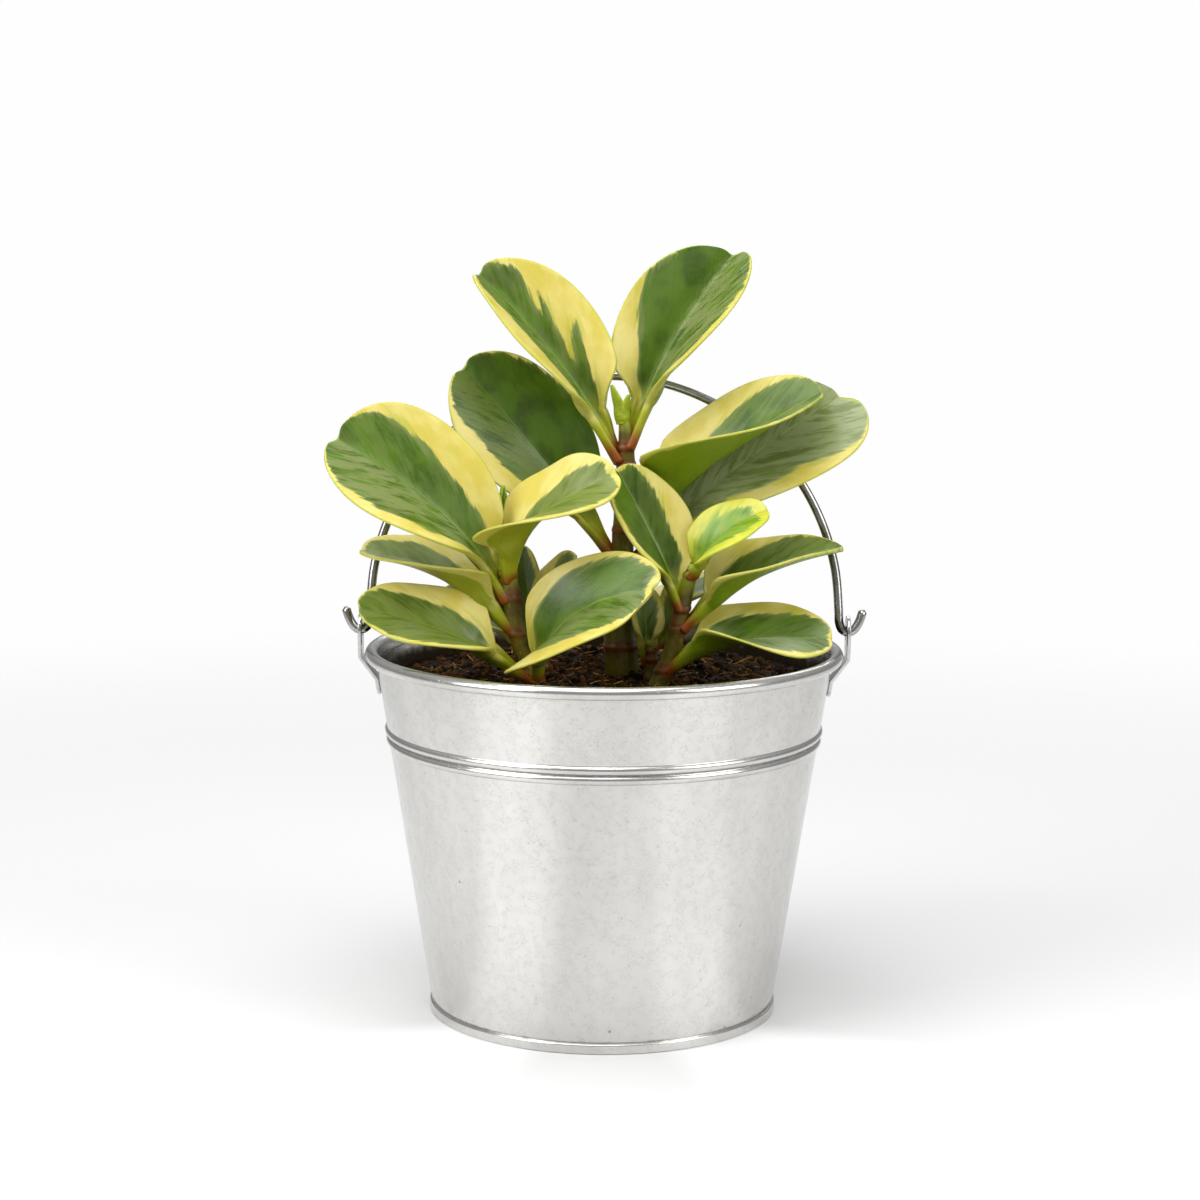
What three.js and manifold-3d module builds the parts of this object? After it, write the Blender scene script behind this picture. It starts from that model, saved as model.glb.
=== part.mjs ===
// A variegated baby rubber plant growing in a small tin bucket with a wire bail.
//
// Millimetres. +Z is up, +X is to the right and -Y is the front. The origin is the
// centre of the ring that the bucket stands on.

import * as THREE from 'three';
import { mergeVertices } from 'three/addons/utils/BufferGeometryUtils.js';
import Module from 'manifold-3d';

const wasm = await Module();
wasm.setup();

const DEG = Math.PI / 180;

// Clearance between two pieces that touch
const GAP = 0.3;

// Driving dimensions of the bucket
const BUCKET_HEIGHT = 116;
const RIM_RADIUS = 75;
const FOOT_RADIUS = 55;
const SHEET = 0.8;
const ROLL_RADIUS = 2;
const FOOT_HEIGHT = 3.2;
const FOOT_STEP = 0.6;
const BEAD_HEIGHTS = [87, 90];
const BEAD_HALF_WIDTH = 1.4;
const BEAD_RISE = 0.9;
const BUCKET_SIDES = 40;
const BASE_RECESS = 2.6;

// Driving dimensions of the ears and the bail
const HINGE_HEIGHT = 120.7;
const WIRE_RADIUS = 1.4;
const EYE_CLEARANCE = 0.9;
const EAR_FACE = 75.9;
const EAR_SHEET = 1.2;
const EAR_EYE_RADIUS = 5.2;
const EAR_WIDTH = 8.4;
const EAR_TIP_WIDTH = 5.6;
const EAR_BEND_HEIGHT = 112.7;
const EAR_LAP_TOP = 105.6;
const EAR_LAP_BOTTOM = 100.6;
const BAIL_RADIUS = 73.6;
const BAIL_SPRING_HEIGHT = 127.6;
const BAIL_LEAN = 11;
const BAIL_ARC_STEPS = 18;

// The bail's hooked end, from its tip down through the eye and up into the arch: how far
// out from the arch's foot and how far above the hinge
const BAIL_HOOK = [[7.8, 7.2], [6.3, 3], [4.6, 0.6], [2.9, 0], [1.1, 0.8], [0.2, 3]];

// Driving dimensions of the soil
const SOIL_AT_WALL = 104.4;
const SOIL_MOUND = 0.8;
const SOIL_LUMP = 0.6;
const SOIL_EDGE_SHARE = 1 / 6;
const SOIL_RINGS = 7;

// Stems: the centre line from its lower end in the soil up to the tip, and the radius
// at each of those points. A swollen joint stands where a leaf grows out.
const STEMS = {
  stem_centre: {
    line: [[7, 7, 80], [6, 7, 104], [5, 7, 117], [5, 7, 130], [5.4, 7, 142], [6, 6, 158],
      [6.4, 5.4, 172], [6.2, 5, 183], [5.2, 5, 190]],
    radius: [4.6, 5.6, 5, 4.1, 3.6, 3.2, 2.9, 2.1, 1.2],
    joints: [115, 128, 140.5, 152, 173, 178],
  },
  stem_left: {
    line: [[-20, -12, 82], [-21, -12, 103], [-22.5, -12, 110], [-25, -12, 117], [-27.6, -12, 125],
      [-29.2, -12, 135], [-30.4, -12, 142], [-31.2, -12, 146]],
    radius: [3.2, 3.6, 3.6, 3.5, 3.3, 3.1, 2.8, 1.4],
    joints: [109.5, 122, 133, 140.5],
  },
  stem_right: {
    line: [[14, -14, 84], [16, -14, 104], [18, -14, 109], [21, -14, 117], [23, -14, 126],
      [24.8, -14, 134], [26.4, -14, 141], [27, -14, 144]],
    radius: [3, 3.3, 3.1, 2.8, 2.6, 2.4, 2.2, 1.4],
    joints: [111, 124, 130, 141],
  },
  shoot_left: {
    line: [[-18, 3, 88], [-18.4, 2, 103], [-19.4, 2, 111], [-19.8, 2, 117], [-19.8, 2, 121]],
    radius: [2.2, 2.4, 2.2, 2, 1.1],
    joints: [109, 116.5],
  },
  shoot_right: {
    line: [[14, 1, 90], [14.4, 0, 104], [14.8, 0, 109], [14.5, 0, 114], [14.2, 0, 117.5]],
    radius: [2.2, 2.3, 2.1, 1.9, 1.1],
    joints: [112, 115],
  },
};
const STEM_SIDES = 10;
const RINGS_PER_SPAN = 3;
const JOINT_SWELL = 0.45;
const JOINT_HALF_HEIGHT = 1.6;

// Leaves: the stem that each grows from, the four control points of its midrib from the
// stem's centre to the tip, the length of its stalk and the full width of its blade.
// rise and blunt say how the blade widens from its base and how bluntly it ends. uneven is
// by what share its right half is wider than the mean, and skew and slant are how far its
// right side runs ahead of the left one, at the base and at the tip. fold is how far each half of the
// blade is folded up, in degrees, at the blade's base and at its tip, and roll is how far
// its right side is turned up about the midrib, at the same two.
const LEAVES = {
  leaf_centre_1: {
    stem: 'stem_centre', path: [[5, 5, 174], [-1, 3.4, 185], [-10.4, 6, 205.4], [-41, 11, 232.5]],
    stalk: 17, width: 39, fold: [58, 38], roll: [54, 47],
  },
  leaf_centre_2: {
    stem: 'stem_centre', path: [[6.4, 5, 178], [10.5, 5.4, 187], [14.5, 12, 208], [40.5, 16.5, 239]],
    stalk: 15, width: 41.5, blunt: 0.45, skew: 2, slant: 3, fold: [58, 36], roll: [-44, -56],
  },
  leaf_centre_3: {
    stem: 'stem_centre', path: [[5, 7, 141], [-5, 7.4, 155], [-19, 8, 175.4], [-45.4, 4, 203.8]],
    stalk: 20, width: 41, rise: 0.66, fold: [35, 8], roll: [68, 64],
  },
  leaf_centre_4: {
    stem: 'stem_centre', path: [[6, 6, 140.5], [15, 5, 150], [41, 0, 174.5], [74, 1, 195.6]],
    stalk: 17, width: 36, rise: 1.1, blunt: 0.34, uneven: 0.18, slant: 4, fold: [30, 6], roll: [-58, -62],
  },
  leaf_centre_5: {
    stem: 'stem_centre', path: [[6, 6, 152], [15, 3.6, 160], [35, -4, 180], [67, -7, 197]],
    stalk: 14, width: 41, uneven: 0.1, skew: -3, fold: [84, 24], roll: [-6, -36],
  },
  leaf_left_1: {
    stem: 'stem_left', path: [[-30, -12, 132], [-36, -14, 147], [-51, -20, 166.6], [-83.1, -19, 183.4]],
    stalk: 14, width: 45, rise: 0.75, blunt: 0.45, skew: -2, slant: -0.8, fold: [52, 20], roll: [58, 60],
  },
  leaf_left_2: {
    stem: 'stem_left', path: [[-30, -12, 138.4], [-29.5, -19, 156], [-19, -26, 163], [4, -20.5, 173]],
    stalk: 9, width: 33, rise: 0.4, skew: -5, fold: [68, 12], roll: [8, -62],
  },
  leaf_left_3: {
    stem: 'stem_left', path: [[-27, -12, 122], [-35, -12, 130], [-47.5, -13, 144], [-76, -9, 147.5]],
    stalk: 12, width: 29, fold: [80, 14], roll: [5, 18],
  },
  leaf_left_4: {
    stem: 'stem_left', path: [[-22, -13, 107.6], [-29.5, -17, 113], [-44, -28.5, 127], [-75.5, -25, 131.5]],
    stalk: 17, width: 32, slant: 2, fold: [50, 10], roll: [28, 34],
  },
  leaf_left_5: {
    stem: 'stem_left', path: [[-21.5, -12, 107], [-21.5, -21, 119], [-12, -34, 137], [15, -32, 138.5]],
    stalk: 10, width: 39, uneven: 0.12, skew: -6, slant: -5, fold: [58, 12], roll: [-42, -50],
  },
  leaf_right_1: {
    stem: 'stem_right', path: [[24, -14, 130], [22, -15.5, 139], [15, -14, 153], [3.2, -9.5, 173.6]],
    stalk: 9, width: 27, fold: [50, 22], roll: [38, 50],
  },
  leaf_right_2: {
    stem: 'stem_right', path: [[26.6, -14, 141], [29.5, -19.5, 149], [36, -22.5, 157.5], [50, -20, 162]],
    stalk: 5, width: 20, fold: [45, 12], roll: [-40, -48],
  },
  leaf_right_3: {
    stem: 'stem_right', path: [[23.4, -14, 124], [29.5, -14, 130], [43, -16, 145], [74, -12, 149.6]],
    stalk: 12, width: 31, rise: 0.42, blunt: 0.75, fold: [48, 17], roll: [-10, -14],
  },
  leaf_right_4: {
    stem: 'stem_right', path: [[18.8, -14, 111], [27, -16, 118.5], [38.6, -20, 124], [70.5, -20, 121.8]],
    stalk: 11, width: 30.5, fold: [66, 10], roll: [-6, -36],
  },
  leaf_shoot_left_1: {
    stem: 'shoot_left', path: [[-19.8, 2, 116], [-19.6, 0, 125.6], [-17.7, -2, 135], [-9.3, -2, 146]],
    stalk: 9, width: 16, fold: [40, 14], roll: [-45, -50],
  },
  leaf_shoot_left_2: {
    stem: 'shoot_left', path: [[-19.8, 2, 112.5], [-23, 8.8, 122], [-25, 10, 133], [-26.2, 10, 146.6]],
    stalk: 8, width: 14, fold: [35, 14], roll: [60, 60],
  },
  leaf_shoot_left_3: {
    stem: 'shoot_left', path: [[-18.8, 2, 108.5], [-23.6, 13, 113.5], [-37, 28, 126], [-53.5, 34, 128]],
    stalk: 14, width: 24, fold: [40, 12], roll: [15, 15],
  },
  leaf_shoot_right_1: {
    stem: 'shoot_right', path: [[14.4, 0, 110.5], [12.5, -2, 118], [13.5, 1, 126], [12.5, 8, 134]],
    stalk: 7, width: 12, fold: [60, 20], roll: [0, 0],
  },
  leaf_shoot_right_2: {
    stem: 'shoot_right', path: [[14.4, 0.5, 115.5], [20, 4, 118.4], [23.4, 7, 128], [22.4, 9, 137]],
    stalk: 7, width: 11, fold: [45, 16], roll: [-20, -20],
  },
  leaf_back_1: {
    stem: 'stem_left', path: [[-30, -12, 139.5], [-30.6, -2, 144], [-41, 20, 150.5], [-55, 36, 143]],
    stalk: 20, width: 26, fold: [40, 12], roll: [12, 12],
  },
  leaf_back_2: {
    stem: 'stem_centre', path: [[5.6, 7, 149], [12, 16, 158], [27, 32, 166], [44, 36, 166]],
    stalk: 14, width: 27, fold: [40, 12], roll: [-10, -10],
  },
  leaf_back_3: {
    stem: 'stem_centre', path: [[5.5, 7, 113], [3.5, 20, 117], [-1.5, 36, 122], [-9.7, 54, 123.5]],
    stalk: 16, width: 25, fold: [40, 12], roll: [0, 0],
  },
  leaf_back_4: {
    stem: 'stem_centre', path: [[5.5, 7, 118], [14.7, 20, 122], [29, 32, 129], [46, 38, 134]],
    stalk: 18, width: 24, fold: [40, 10], roll: [0, 0],
  },
};

// The little unopened leaves at each growing tip, fused to their stem
const BUDS = {
  stem_centre: [{
    path: [[5.2, 5, 186], [3.8, 4, 190], [2.6, 3, 194], [2.4, 2, 198]],
    width: 5.6, roll: [40, 40],
  }, {
    path: [[5.2, 5, 186], [6.2, 4, 189], [6.8, 3, 192], [6.6, 2.6, 195]],
    width: 4.6, roll: [-40, -40],
  }],
  stem_left: [{
    path: [[-31.4, -11, 143.5], [-34, -9, 150], [-37, -8.4, 157], [-37.4, -9, 163.6]],
    width: 5.5, roll: [40, 40],
  }, {
    path: [[-31.2, -11, 143.5], [-31.5, -8, 151], [-32.5, -7.8, 159], [-31.2, -8.6, 167.5]],
    width: 6, roll: [-30, -30],
  }],
};
const BUD_STALK = 2;
const BUD_FOLD = [70, 42];
const BUD_CELLS = 2;

// Shape shared by every leaf. The blade's half width grows as u ** rise from its base and
// closes as (1 - u) ** blunt at its tip, with these two values where a leaf has none of its
// own. Small leaves are thinner.
const BLADE_RISE = 0.5;
const BLADE_BLUNT = 0.5;
const LEAN_BY = 0.16;
const LEAN_SOFT = 4;
const STALK_HALF_WIDTH = 1.9;
const STALK_WIDTH_SHARE = 0.14;
const STALK_FOLD = 35;
const STALK_THICK = 2.8;
const STALK_EDGE = 1.6;
const BLADE_THICK = 1.5;
const BLADE_EDGE = 0.8;
const THIN_BY = 0.35;
const FULL_SIZE_WIDTH = 18;
const SMALLEST_MIDDLE = 0.55;
const SMALLEST_EDGE = 0.75;
const NOTCH = 1.6;
const NOTCH_HALF_WIDTH = 2.6;
const NOTCH_REACH = 5;
const STALK_STATIONS = 4;
const BLADE_STATIONS = 9;
const LAST_STATION = 0.995;
const LEAF_CELLS = 4;

const COLOURS = {
  tin: 0xcfd1d0,
  steel: 0x8f9293,
  soil: 0x2a1a0d,
  stem: 0x6c7a1e,
  leaf: 0x5f8a35,
};

/** A MeshStandardMaterial of its own for each piece. */
function finish(colour, roughness, metalness) {
  return new THREE.MeshStandardMaterial({ color: colour, roughness, metalness });
}

/** The value between a and b, at t from 0 to 1. */
function blend(a, b, t) {
  return a + (b - a) * t;
}

/** A closed mesh from a list of [x, y, z] points and a list of triangles. */
function closedMesh(points, triangles) {
  const geometry = new THREE.BufferGeometry();
  geometry.setAttribute('position', new THREE.Float32BufferAttribute(points.flat(), 3));
  geometry.setIndex(triangles.flat());
  return geometry;
}

/** A manifold solid made from a closed three.js geometry. */
function toSolid(geometry) {
  const bare = geometry.clone();
  bare.deleteAttribute('normal');
  bare.deleteAttribute('uv');
  const merged = mergeVertices(bare, 1e-4);
  const mesh = new wasm.Mesh({
    numProp: 3,
    vertProperties: new Float32Array(merged.attributes.position.array),
    triVerts: new Uint32Array(merged.index.array),
  });
  return new wasm.Manifold(mesh);
}

/** The geometry of a manifold solid's largest body. */
function toGeometry(solid) {
  const bodies = solid.decompose();
  bodies.sort((a, b) => b.volume() - a.volume());
  const mesh = bodies[0].getMesh();
  const geometry = new THREE.BufferGeometry();
  geometry.setAttribute('position', new THREE.Float32BufferAttribute(mesh.vertProperties, 3));
  geometry.setIndex(Array.from(mesh.triVerts));
  return geometry;
}

/** A named mesh with computed normals. */
function piece(name, geometry, material) {
  geometry.computeVertexNormals();
  const mesh = new THREE.Mesh(geometry, material);
  mesh.name = name;
  return mesh;
}

/** The outer radius of the bucket's tapered sheet at height z. */
function wallRadius(z) {
  const atRim = RIM_RADIUS - 2 * ROLL_RADIUS + SHEET;
  const atFoot = FOOT_RADIUS - FOOT_STEP;
  return blend(atFoot, atRim, (z - FOOT_HEIGHT) / (BUCKET_HEIGHT - ROLL_RADIUS - FOOT_HEIGHT));
}

/** The bucket's wall in one sheet: foot seam, taper, two beads and the rolled rim. */
function bucketWall() {
  const outer = [
    [FOOT_RADIUS - FOOT_STEP - SHEET / 2, 0],
    [FOOT_RADIUS, FOOT_STEP],
    [FOOT_RADIUS, FOOT_HEIGHT - FOOT_STEP],
    [wallRadius(FOOT_HEIGHT), FOOT_HEIGHT],
  ];
  const inner = [[wallRadius(FOOT_HEIGHT) - SHEET, FOOT_HEIGHT]];
  for (const z of BEAD_HEIGHTS) {
    const crest = BEAD_HALF_WIDTH * 0.5;
    for (const [dz, rise] of [[-BEAD_HALF_WIDTH, 0], [-crest, 1], [crest, 1], [BEAD_HALF_WIDTH, 0]]) {
      const radius = wallRadius(z + dz) + rise * BEAD_RISE;
      outer.push([radius, z + dz]);
      inner.push([radius - SHEET, z + dz]);
    }
  }
  const rollCentre = RIM_RADIUS - ROLL_RADIUS;
  const rollHeight = BUCKET_HEIGHT - ROLL_RADIUS;
  for (let angle = -135; angle < 180; angle += 45) {
    const [out, rise] = [ROLL_RADIUS * Math.cos(angle * DEG), ROLL_RADIUS * Math.sin(angle * DEG)];
    outer.push([rollCentre + out, rollHeight + rise]);
  }
  outer.push([rollCentre - ROLL_RADIUS, rollHeight]);
  const innerFoot = [FOOT_RADIUS - FOOT_STEP - 2 * SHEET, 0];
  const loop = [...outer, ...inner.reverse(), innerFoot, outer[0]];
  const profile = loop.map(([radius, z]) => new THREE.Vector2(radius, z));
  const geometry = new THREE.LatheGeometry(profile, BUCKET_SIDES);
  return toSolid(geometry.rotateX(90 * DEG));
}

/** The bucket's base: a disc with a flange, held up inside the foot seam. */
function bucketBase() {
  const edge = FOOT_RADIUS - FOOT_STEP - 2 * SHEET - GAP;
  const profile = [
    [0, BASE_RECESS],
    [edge - SHEET, BASE_RECESS],
    [edge - SHEET, GAP],
    [edge, GAP],
    [edge, BASE_RECESS + SHEET],
    [0, BASE_RECESS + SHEET],
  ].map(([radius, z]) => new THREE.Vector2(radius, z));
  const geometry = new THREE.LatheGeometry(profile, BUCKET_SIDES);
  return toSolid(geometry.rotateX(90 * DEG));
}

/** The right ear: an eye that stands outside the rim, on a strap welded to the wall. */
function ear() {
  const eye = new THREE.Shape();
  eye.absarc(0, HINGE_HEIGHT, EAR_EYE_RADIUS, 0, Math.PI, false);
  eye.lineTo(-EAR_WIDTH / 2, EAR_BEND_HEIGHT);
  eye.lineTo(EAR_WIDTH / 2, EAR_BEND_HEIGHT);
  eye.closePath();
  const hole = new THREE.Path();
  hole.absarc(0, HINGE_HEIGHT, WIRE_RADIUS + EYE_CLEARANCE, 0, 2 * Math.PI, true);
  eye.holes.push(hole);
  const plate = new THREE.ExtrudeGeometry(eye, {
    depth: EAR_SHEET,
    bevelEnabled: false,
    curveSegments: 12,
  });
  plate.rotateX(90 * DEG);
  plate.rotateZ(90 * DEG);
  plate.translate(EAR_FACE, 0, 0);

  const side = new THREE.Shape();
  const seat = (z) => wallRadius(z) + GAP;
  side.moveTo(seat(EAR_LAP_BOTTOM), EAR_LAP_BOTTOM);
  side.lineTo(seat(EAR_LAP_BOTTOM) + EAR_SHEET, EAR_LAP_BOTTOM);
  side.lineTo(seat(EAR_LAP_TOP) + EAR_SHEET, EAR_LAP_TOP);
  side.lineTo(EAR_FACE + EAR_SHEET, EAR_BEND_HEIGHT);
  side.lineTo(EAR_FACE + EAR_SHEET, EAR_BEND_HEIGHT + SHEET);
  side.lineTo(EAR_FACE, EAR_BEND_HEIGHT + SHEET);
  side.lineTo(EAR_FACE, EAR_BEND_HEIGHT);
  side.lineTo(seat(EAR_LAP_TOP), EAR_LAP_TOP);
  side.closePath();
  const strap = new THREE.ExtrudeGeometry(side, { depth: EAR_WIDTH, bevelEnabled: false, steps: 1 });
  strap.rotateX(90 * DEG);
  strap.translate(0, EAR_WIDTH / 2, 0);
  const position = strap.attributes.position;
  for (let i = 0; i < position.count; i += 1) {
    const down = (EAR_BEND_HEIGHT - position.getZ(i)) / (EAR_BEND_HEIGHT - EAR_LAP_BOTTOM);
    const narrowing = blend(1, EAR_TIP_WIDTH / EAR_WIDTH, Math.max(0, down));
    position.setY(i, position.getY(i) * narrowing);
  }
  return toSolid(plate).add(toSolid(strap));
}

/** The bail: one wire arch whose hooked ends pass through the eyes and turn up. */
function bail() {
  const hook = BAIL_HOOK.map(([out, up]) => [BAIL_RADIUS + out, HINGE_HEIGHT + up]);
  const points = hook.map(([x, z]) => new THREE.Vector3(x, 0, z));
  for (let i = 0; i <= BAIL_ARC_STEPS; i += 1) {
    const angle = Math.PI * i / BAIL_ARC_STEPS;
    const [x, rise] = [BAIL_RADIUS * Math.cos(angle), BAIL_RADIUS * Math.sin(angle)];
    points.push(new THREE.Vector3(x, 0, BAIL_SPRING_HEIGHT + rise));
  }
  for (const [x, z] of hook.reverse()) {
    points.push(new THREE.Vector3(-x, 0, z));
  }
  const wire = new THREE.Shape();
  wire.absarc(0, 0, WIRE_RADIUS, 0, 2 * Math.PI, false);
  const geometry = new THREE.ExtrudeGeometry(wire, {
    steps: 72,
    curveSegments: 4,
    bevelEnabled: false,
    extrudePath: new THREE.CatmullRomCurve3(points, false, 'centripetal'),
  });
  geometry.translate(0, 0, -HINGE_HEIGHT);
  geometry.rotateX(-BAIL_LEAN * DEG);
  geometry.translate(0, 0, HINGE_HEIGHT);
  return toSolid(geometry);
}

/** A solid lofted through rings of points, with a fan over each end. */
function loft(rings) {
  const sides = rings[0].length;
  const points = rings.flat();
  const triangles = [];
  for (let i = 0; i < rings.length - 1; i += 1) {
    for (let j = 0; j < sides; j += 1) {
      const next = (j + 1) % sides;
      const [a, b] = [i * sides + j, i * sides + next];
      triangles.push([a, b, b + sides], [a, b + sides, a + sides]);
    }
  }
  for (const [row, turn] of [[0, 1], [rings.length - 1, -1]]) {
    const ring = rings[row];
    const centre = [0, 1, 2].map((axis) => ring.reduce((sum, point) => sum + point[axis], 0) / sides);
    const hub = points.push(centre) - 1;
    for (let j = 0; j < sides; j += 1) {
      const edge = [row * sides + j, row * sides + (j + 1) % sides];
      triangles.push(turn > 0 ? [hub, edge[1], edge[0]] : [hub, edge[0], edge[1]]);
    }
  }
  return closedMesh(points, triangles);
}

/** A stem's solid, with every radius grown by the given amount. */
function stemSolid(stem, grow) {
  const curve = new THREE.CatmullRomCurve3(stem.line.map((point) => new THREE.Vector3(...point)));
  const spans = stem.line.length - 1;
  const stations = Array.from({ length: spans * RINGS_PER_SPAN + 1 }, (_, i) => i / RINGS_PER_SPAN);
  const rings = stations.map((at) => {
    const centre = curve.getPoint(at / spans);
    const low = Math.min(Math.floor(at), spans - 1);
    let radius = blend(stem.radius[low], stem.radius[low + 1], at - low) + grow;
    for (const joint of stem.joints) {
      const away = (centre.z - joint) / JOINT_HALF_HEIGHT;
      radius += JOINT_SWELL * Math.exp(-away * away);
    }
    const ring = [];
    for (let j = 0; j < STEM_SIDES; j += 1) {
      const angle = 2 * Math.PI * j / STEM_SIDES;
      ring.push([centre.x + radius * Math.cos(angle), centre.y + radius * Math.sin(angle), centre.z]);
    }
    return ring;
  });
  rings[0] = rings[0].map(([x, y, z]) => [x, y, z - grow]);
  rings[rings.length - 1] = rings[rings.length - 1].map(([x, y, z]) => [x, y, z + grow]);
  return toSolid(loft(rings));
}

/** Half the blade's width over its greatest half width, at u along the blade. */
function bladeOutline(u, rise = BLADE_RISE, blunt = BLADE_BLUNT) {
  const widest = rise / (rise + blunt);
  return (u / widest) ** rise * ((1 - u) / (1 - widest)) ** blunt;
}

/** One row of points across a leaf: its upper face and its lower face, left to right. */
function leafRow(leaf, curve, length, along, cells) {
  const onStalk = along < leaf.stalk;
  const stalkPart = Math.min(1, along / leaf.stalk);
  const u = onStalk ? 0 : (along - leaf.stalk) / (length - leaf.stalk);
  const stalkHalf = Math.min(STALK_HALF_WIDTH, leaf.width * STALK_WIDTH_SHARE);
  const bladeHalf = leaf.width / 2 - stalkHalf / 2;
  const half = stalkHalf * (1 - u) + bladeHalf * bladeOutline(u, leaf.rise, leaf.blunt);

  const unfolding = 1 - (1 - u) ** 3;
  const stalkFold = blend(STALK_FOLD, leaf.fold[0], stalkPart);
  const foldAt = onStalk ? stalkFold : blend(leaf.fold[0], leaf.fold[1], unfolding);
  const rollAt = onStalk ? leaf.roll[0] * stalkPart : blend(leaf.roll[0], leaf.roll[1], u);
  const thin = Math.min(1, u / THIN_BY);
  const scale = Math.min(1, leaf.width / FULL_SIZE_WIDTH);
  const middle = blend(STALK_THICK, BLADE_THICK, thin) * blend(SMALLEST_MIDDLE, 1, scale);
  const edge = blend(STALK_EDGE, BLADE_EDGE, thin) * blend(SMALLEST_EDGE, 1, scale);

  const at = Math.min(1, along / length);
  const centre = curve.getPointAt(at);
  const tangent = curve.getTangentAt(at);
  const [foot, tip] = [curve.v0, curve.v3];
  const right = new THREE.Vector3().subVectors(tip, foot).cross(new THREE.Vector3(0, 0, 1));
  right.addScaledVector(tangent, -right.dot(tangent)).normalize();
  right.applyAxisAngle(tangent, -rollAt * DEG);
  const up = new THREE.Vector3().crossVectors(right, tangent);
  const lean = blend(leaf.skew ?? 0, leaf.slant ?? 0, u) * Math.min(1, u / LEAN_BY);

  const upper = [];
  const lower = [];
  for (let j = 0; j <= cells; j += 1) {
    const share = 2 * j / cells - 1;
    const out = half * share * (1 + (leaf.uneven ?? 0) * Math.sign(share));
    const slope = foldAt * DEG * Math.sign(share);
    const back = NOTCH * Math.exp(-((out / NOTCH_HALF_WIDTH) ** 2)) * Math.exp(
      -(((1 - u) * (length - leaf.stalk) / NOTCH_REACH) ** 2));
    const point = centre.clone();
    point.addScaledVector(right, out * Math.cos(slope));
    point.addScaledVector(up, out * Math.sin(slope));
    const ahead = lean * share * (1 - Math.exp(-Math.abs(out) / LEAN_SOFT)) - back * scale;
    point.addScaledVector(tangent, onStalk ? 0 : ahead);
    const thickness = blend(middle, edge, share * share);
    const below = point.clone();
    below.addScaledVector(right, thickness * Math.sin(slope));
    below.addScaledVector(up, -thickness * Math.cos(slope));
    upper.push(point.toArray());
    lower.push(below.toArray());
  }
  return { upper, lower };
}

/** A whole leaf, from the foot of its stalk to the tip of its blade. */
function leafSolid(leaf, cells = LEAF_CELLS) {
  const curve = new THREE.CubicBezierCurve3(...leaf.path.map((point) => new THREE.Vector3(...point)));
  const length = curve.getLength();
  const stations = [];
  for (let i = 0; i < STALK_STATIONS; i += 1) {
    stations.push(leaf.stalk * i / STALK_STATIONS);
  }
  for (let i = 0; i <= BLADE_STATIONS; i += 1) {
    const u = LAST_STATION * Math.sin(Math.PI / 2 * i / BLADE_STATIONS);
    stations.push(leaf.stalk + (length - leaf.stalk) * u);
  }
  const rows = stations.map((along) => leafRow(leaf, curve, length, along, cells));
  const columns = cells + 1;
  const points = rows.flatMap((row) => [...row.upper, ...row.lower]);
  const upper = (i, j) => 2 * columns * i + j;
  const lower = (i, j) => upper(i, j) + columns;
  const triangles = [];
  const last = rows.length - 1;
  const edge = cells;
  for (let i = 0; i < last; i += 1) {
    for (let j = 0; j < edge; j += 1) {
      triangles.push([upper(i, j), upper(i, j + 1), upper(i + 1, j + 1)]);
      triangles.push([upper(i, j), upper(i + 1, j + 1), upper(i + 1, j)]);
      triangles.push([lower(i, j), lower(i + 1, j + 1), lower(i, j + 1)]);
      triangles.push([lower(i, j), lower(i + 1, j), lower(i + 1, j + 1)]);
    }
    triangles.push([upper(i, 0), upper(i + 1, 0), lower(i + 1, 0)]);
    triangles.push([upper(i, 0), lower(i + 1, 0), lower(i, 0)]);
    triangles.push([upper(i, edge), lower(i + 1, edge), upper(i + 1, edge)]);
    triangles.push([upper(i, edge), lower(i, edge), lower(i + 1, edge)]);
  }
  for (let j = 0; j < edge; j += 1) {
    triangles.push([upper(0, j), lower(0, j), lower(0, j + 1)]);
    triangles.push([upper(0, j), lower(0, j + 1), upper(0, j + 1)]);
    triangles.push([upper(last, j), lower(last, j + 1), lower(last, j)]);
    triangles.push([upper(last, j), upper(last, j + 1), lower(last, j + 1)]);
  }
  return toSolid(closedMesh(points, triangles));
}

/** The soil: it fills the bucket, is mounded and lumpy on top, and has the stems' holes. */
function soilSolid(stems) {
  const bottom = BASE_RECESS + SHEET + GAP;
  const topRadius = wallRadius(SOIL_AT_WALL) - SHEET - GAP;
  const ring = (radius, height) => {
    const points = [];
    for (let j = 0; j < BUCKET_SIDES; j += 1) {
      const angle = 2 * Math.PI * j / BUCKET_SIDES;
      const [x, y] = [radius * Math.cos(angle), radius * Math.sin(angle)];
      points.push([x, y, height(x, y)]);
    }
    return points;
  };
  const surface = (x, y) => {
    const inward = Math.max(0, 1 - Math.hypot(x, y) / topRadius);
    const small = Math.sin(x * 0.42 + 1.3) * Math.cos(y * 0.37 + 0.4);
    const broad = Math.sin(x * 0.23 - y * 0.31);
    const lumps = SOIL_LUMP * (small + broad) * Math.min(1, inward / SOIL_EDGE_SHARE);
    return SOIL_AT_WALL + SOIL_MOUND * Math.sin(inward * Math.PI / 2) + lumps;
  };
  const rings = [ring(wallRadius(bottom) - SHEET - GAP, () => bottom)];
  for (let i = SOIL_RINGS; i > 0; i -= 1) {
    rings.push(ring(topRadius * i / SOIL_RINGS, surface));
  }
  let solid = toSolid(loft(rings));
  for (const stem of Object.values(stems)) {
    solid = solid.subtract(stemSolid(stem, GAP));
  }
  return solid;
}

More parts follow.
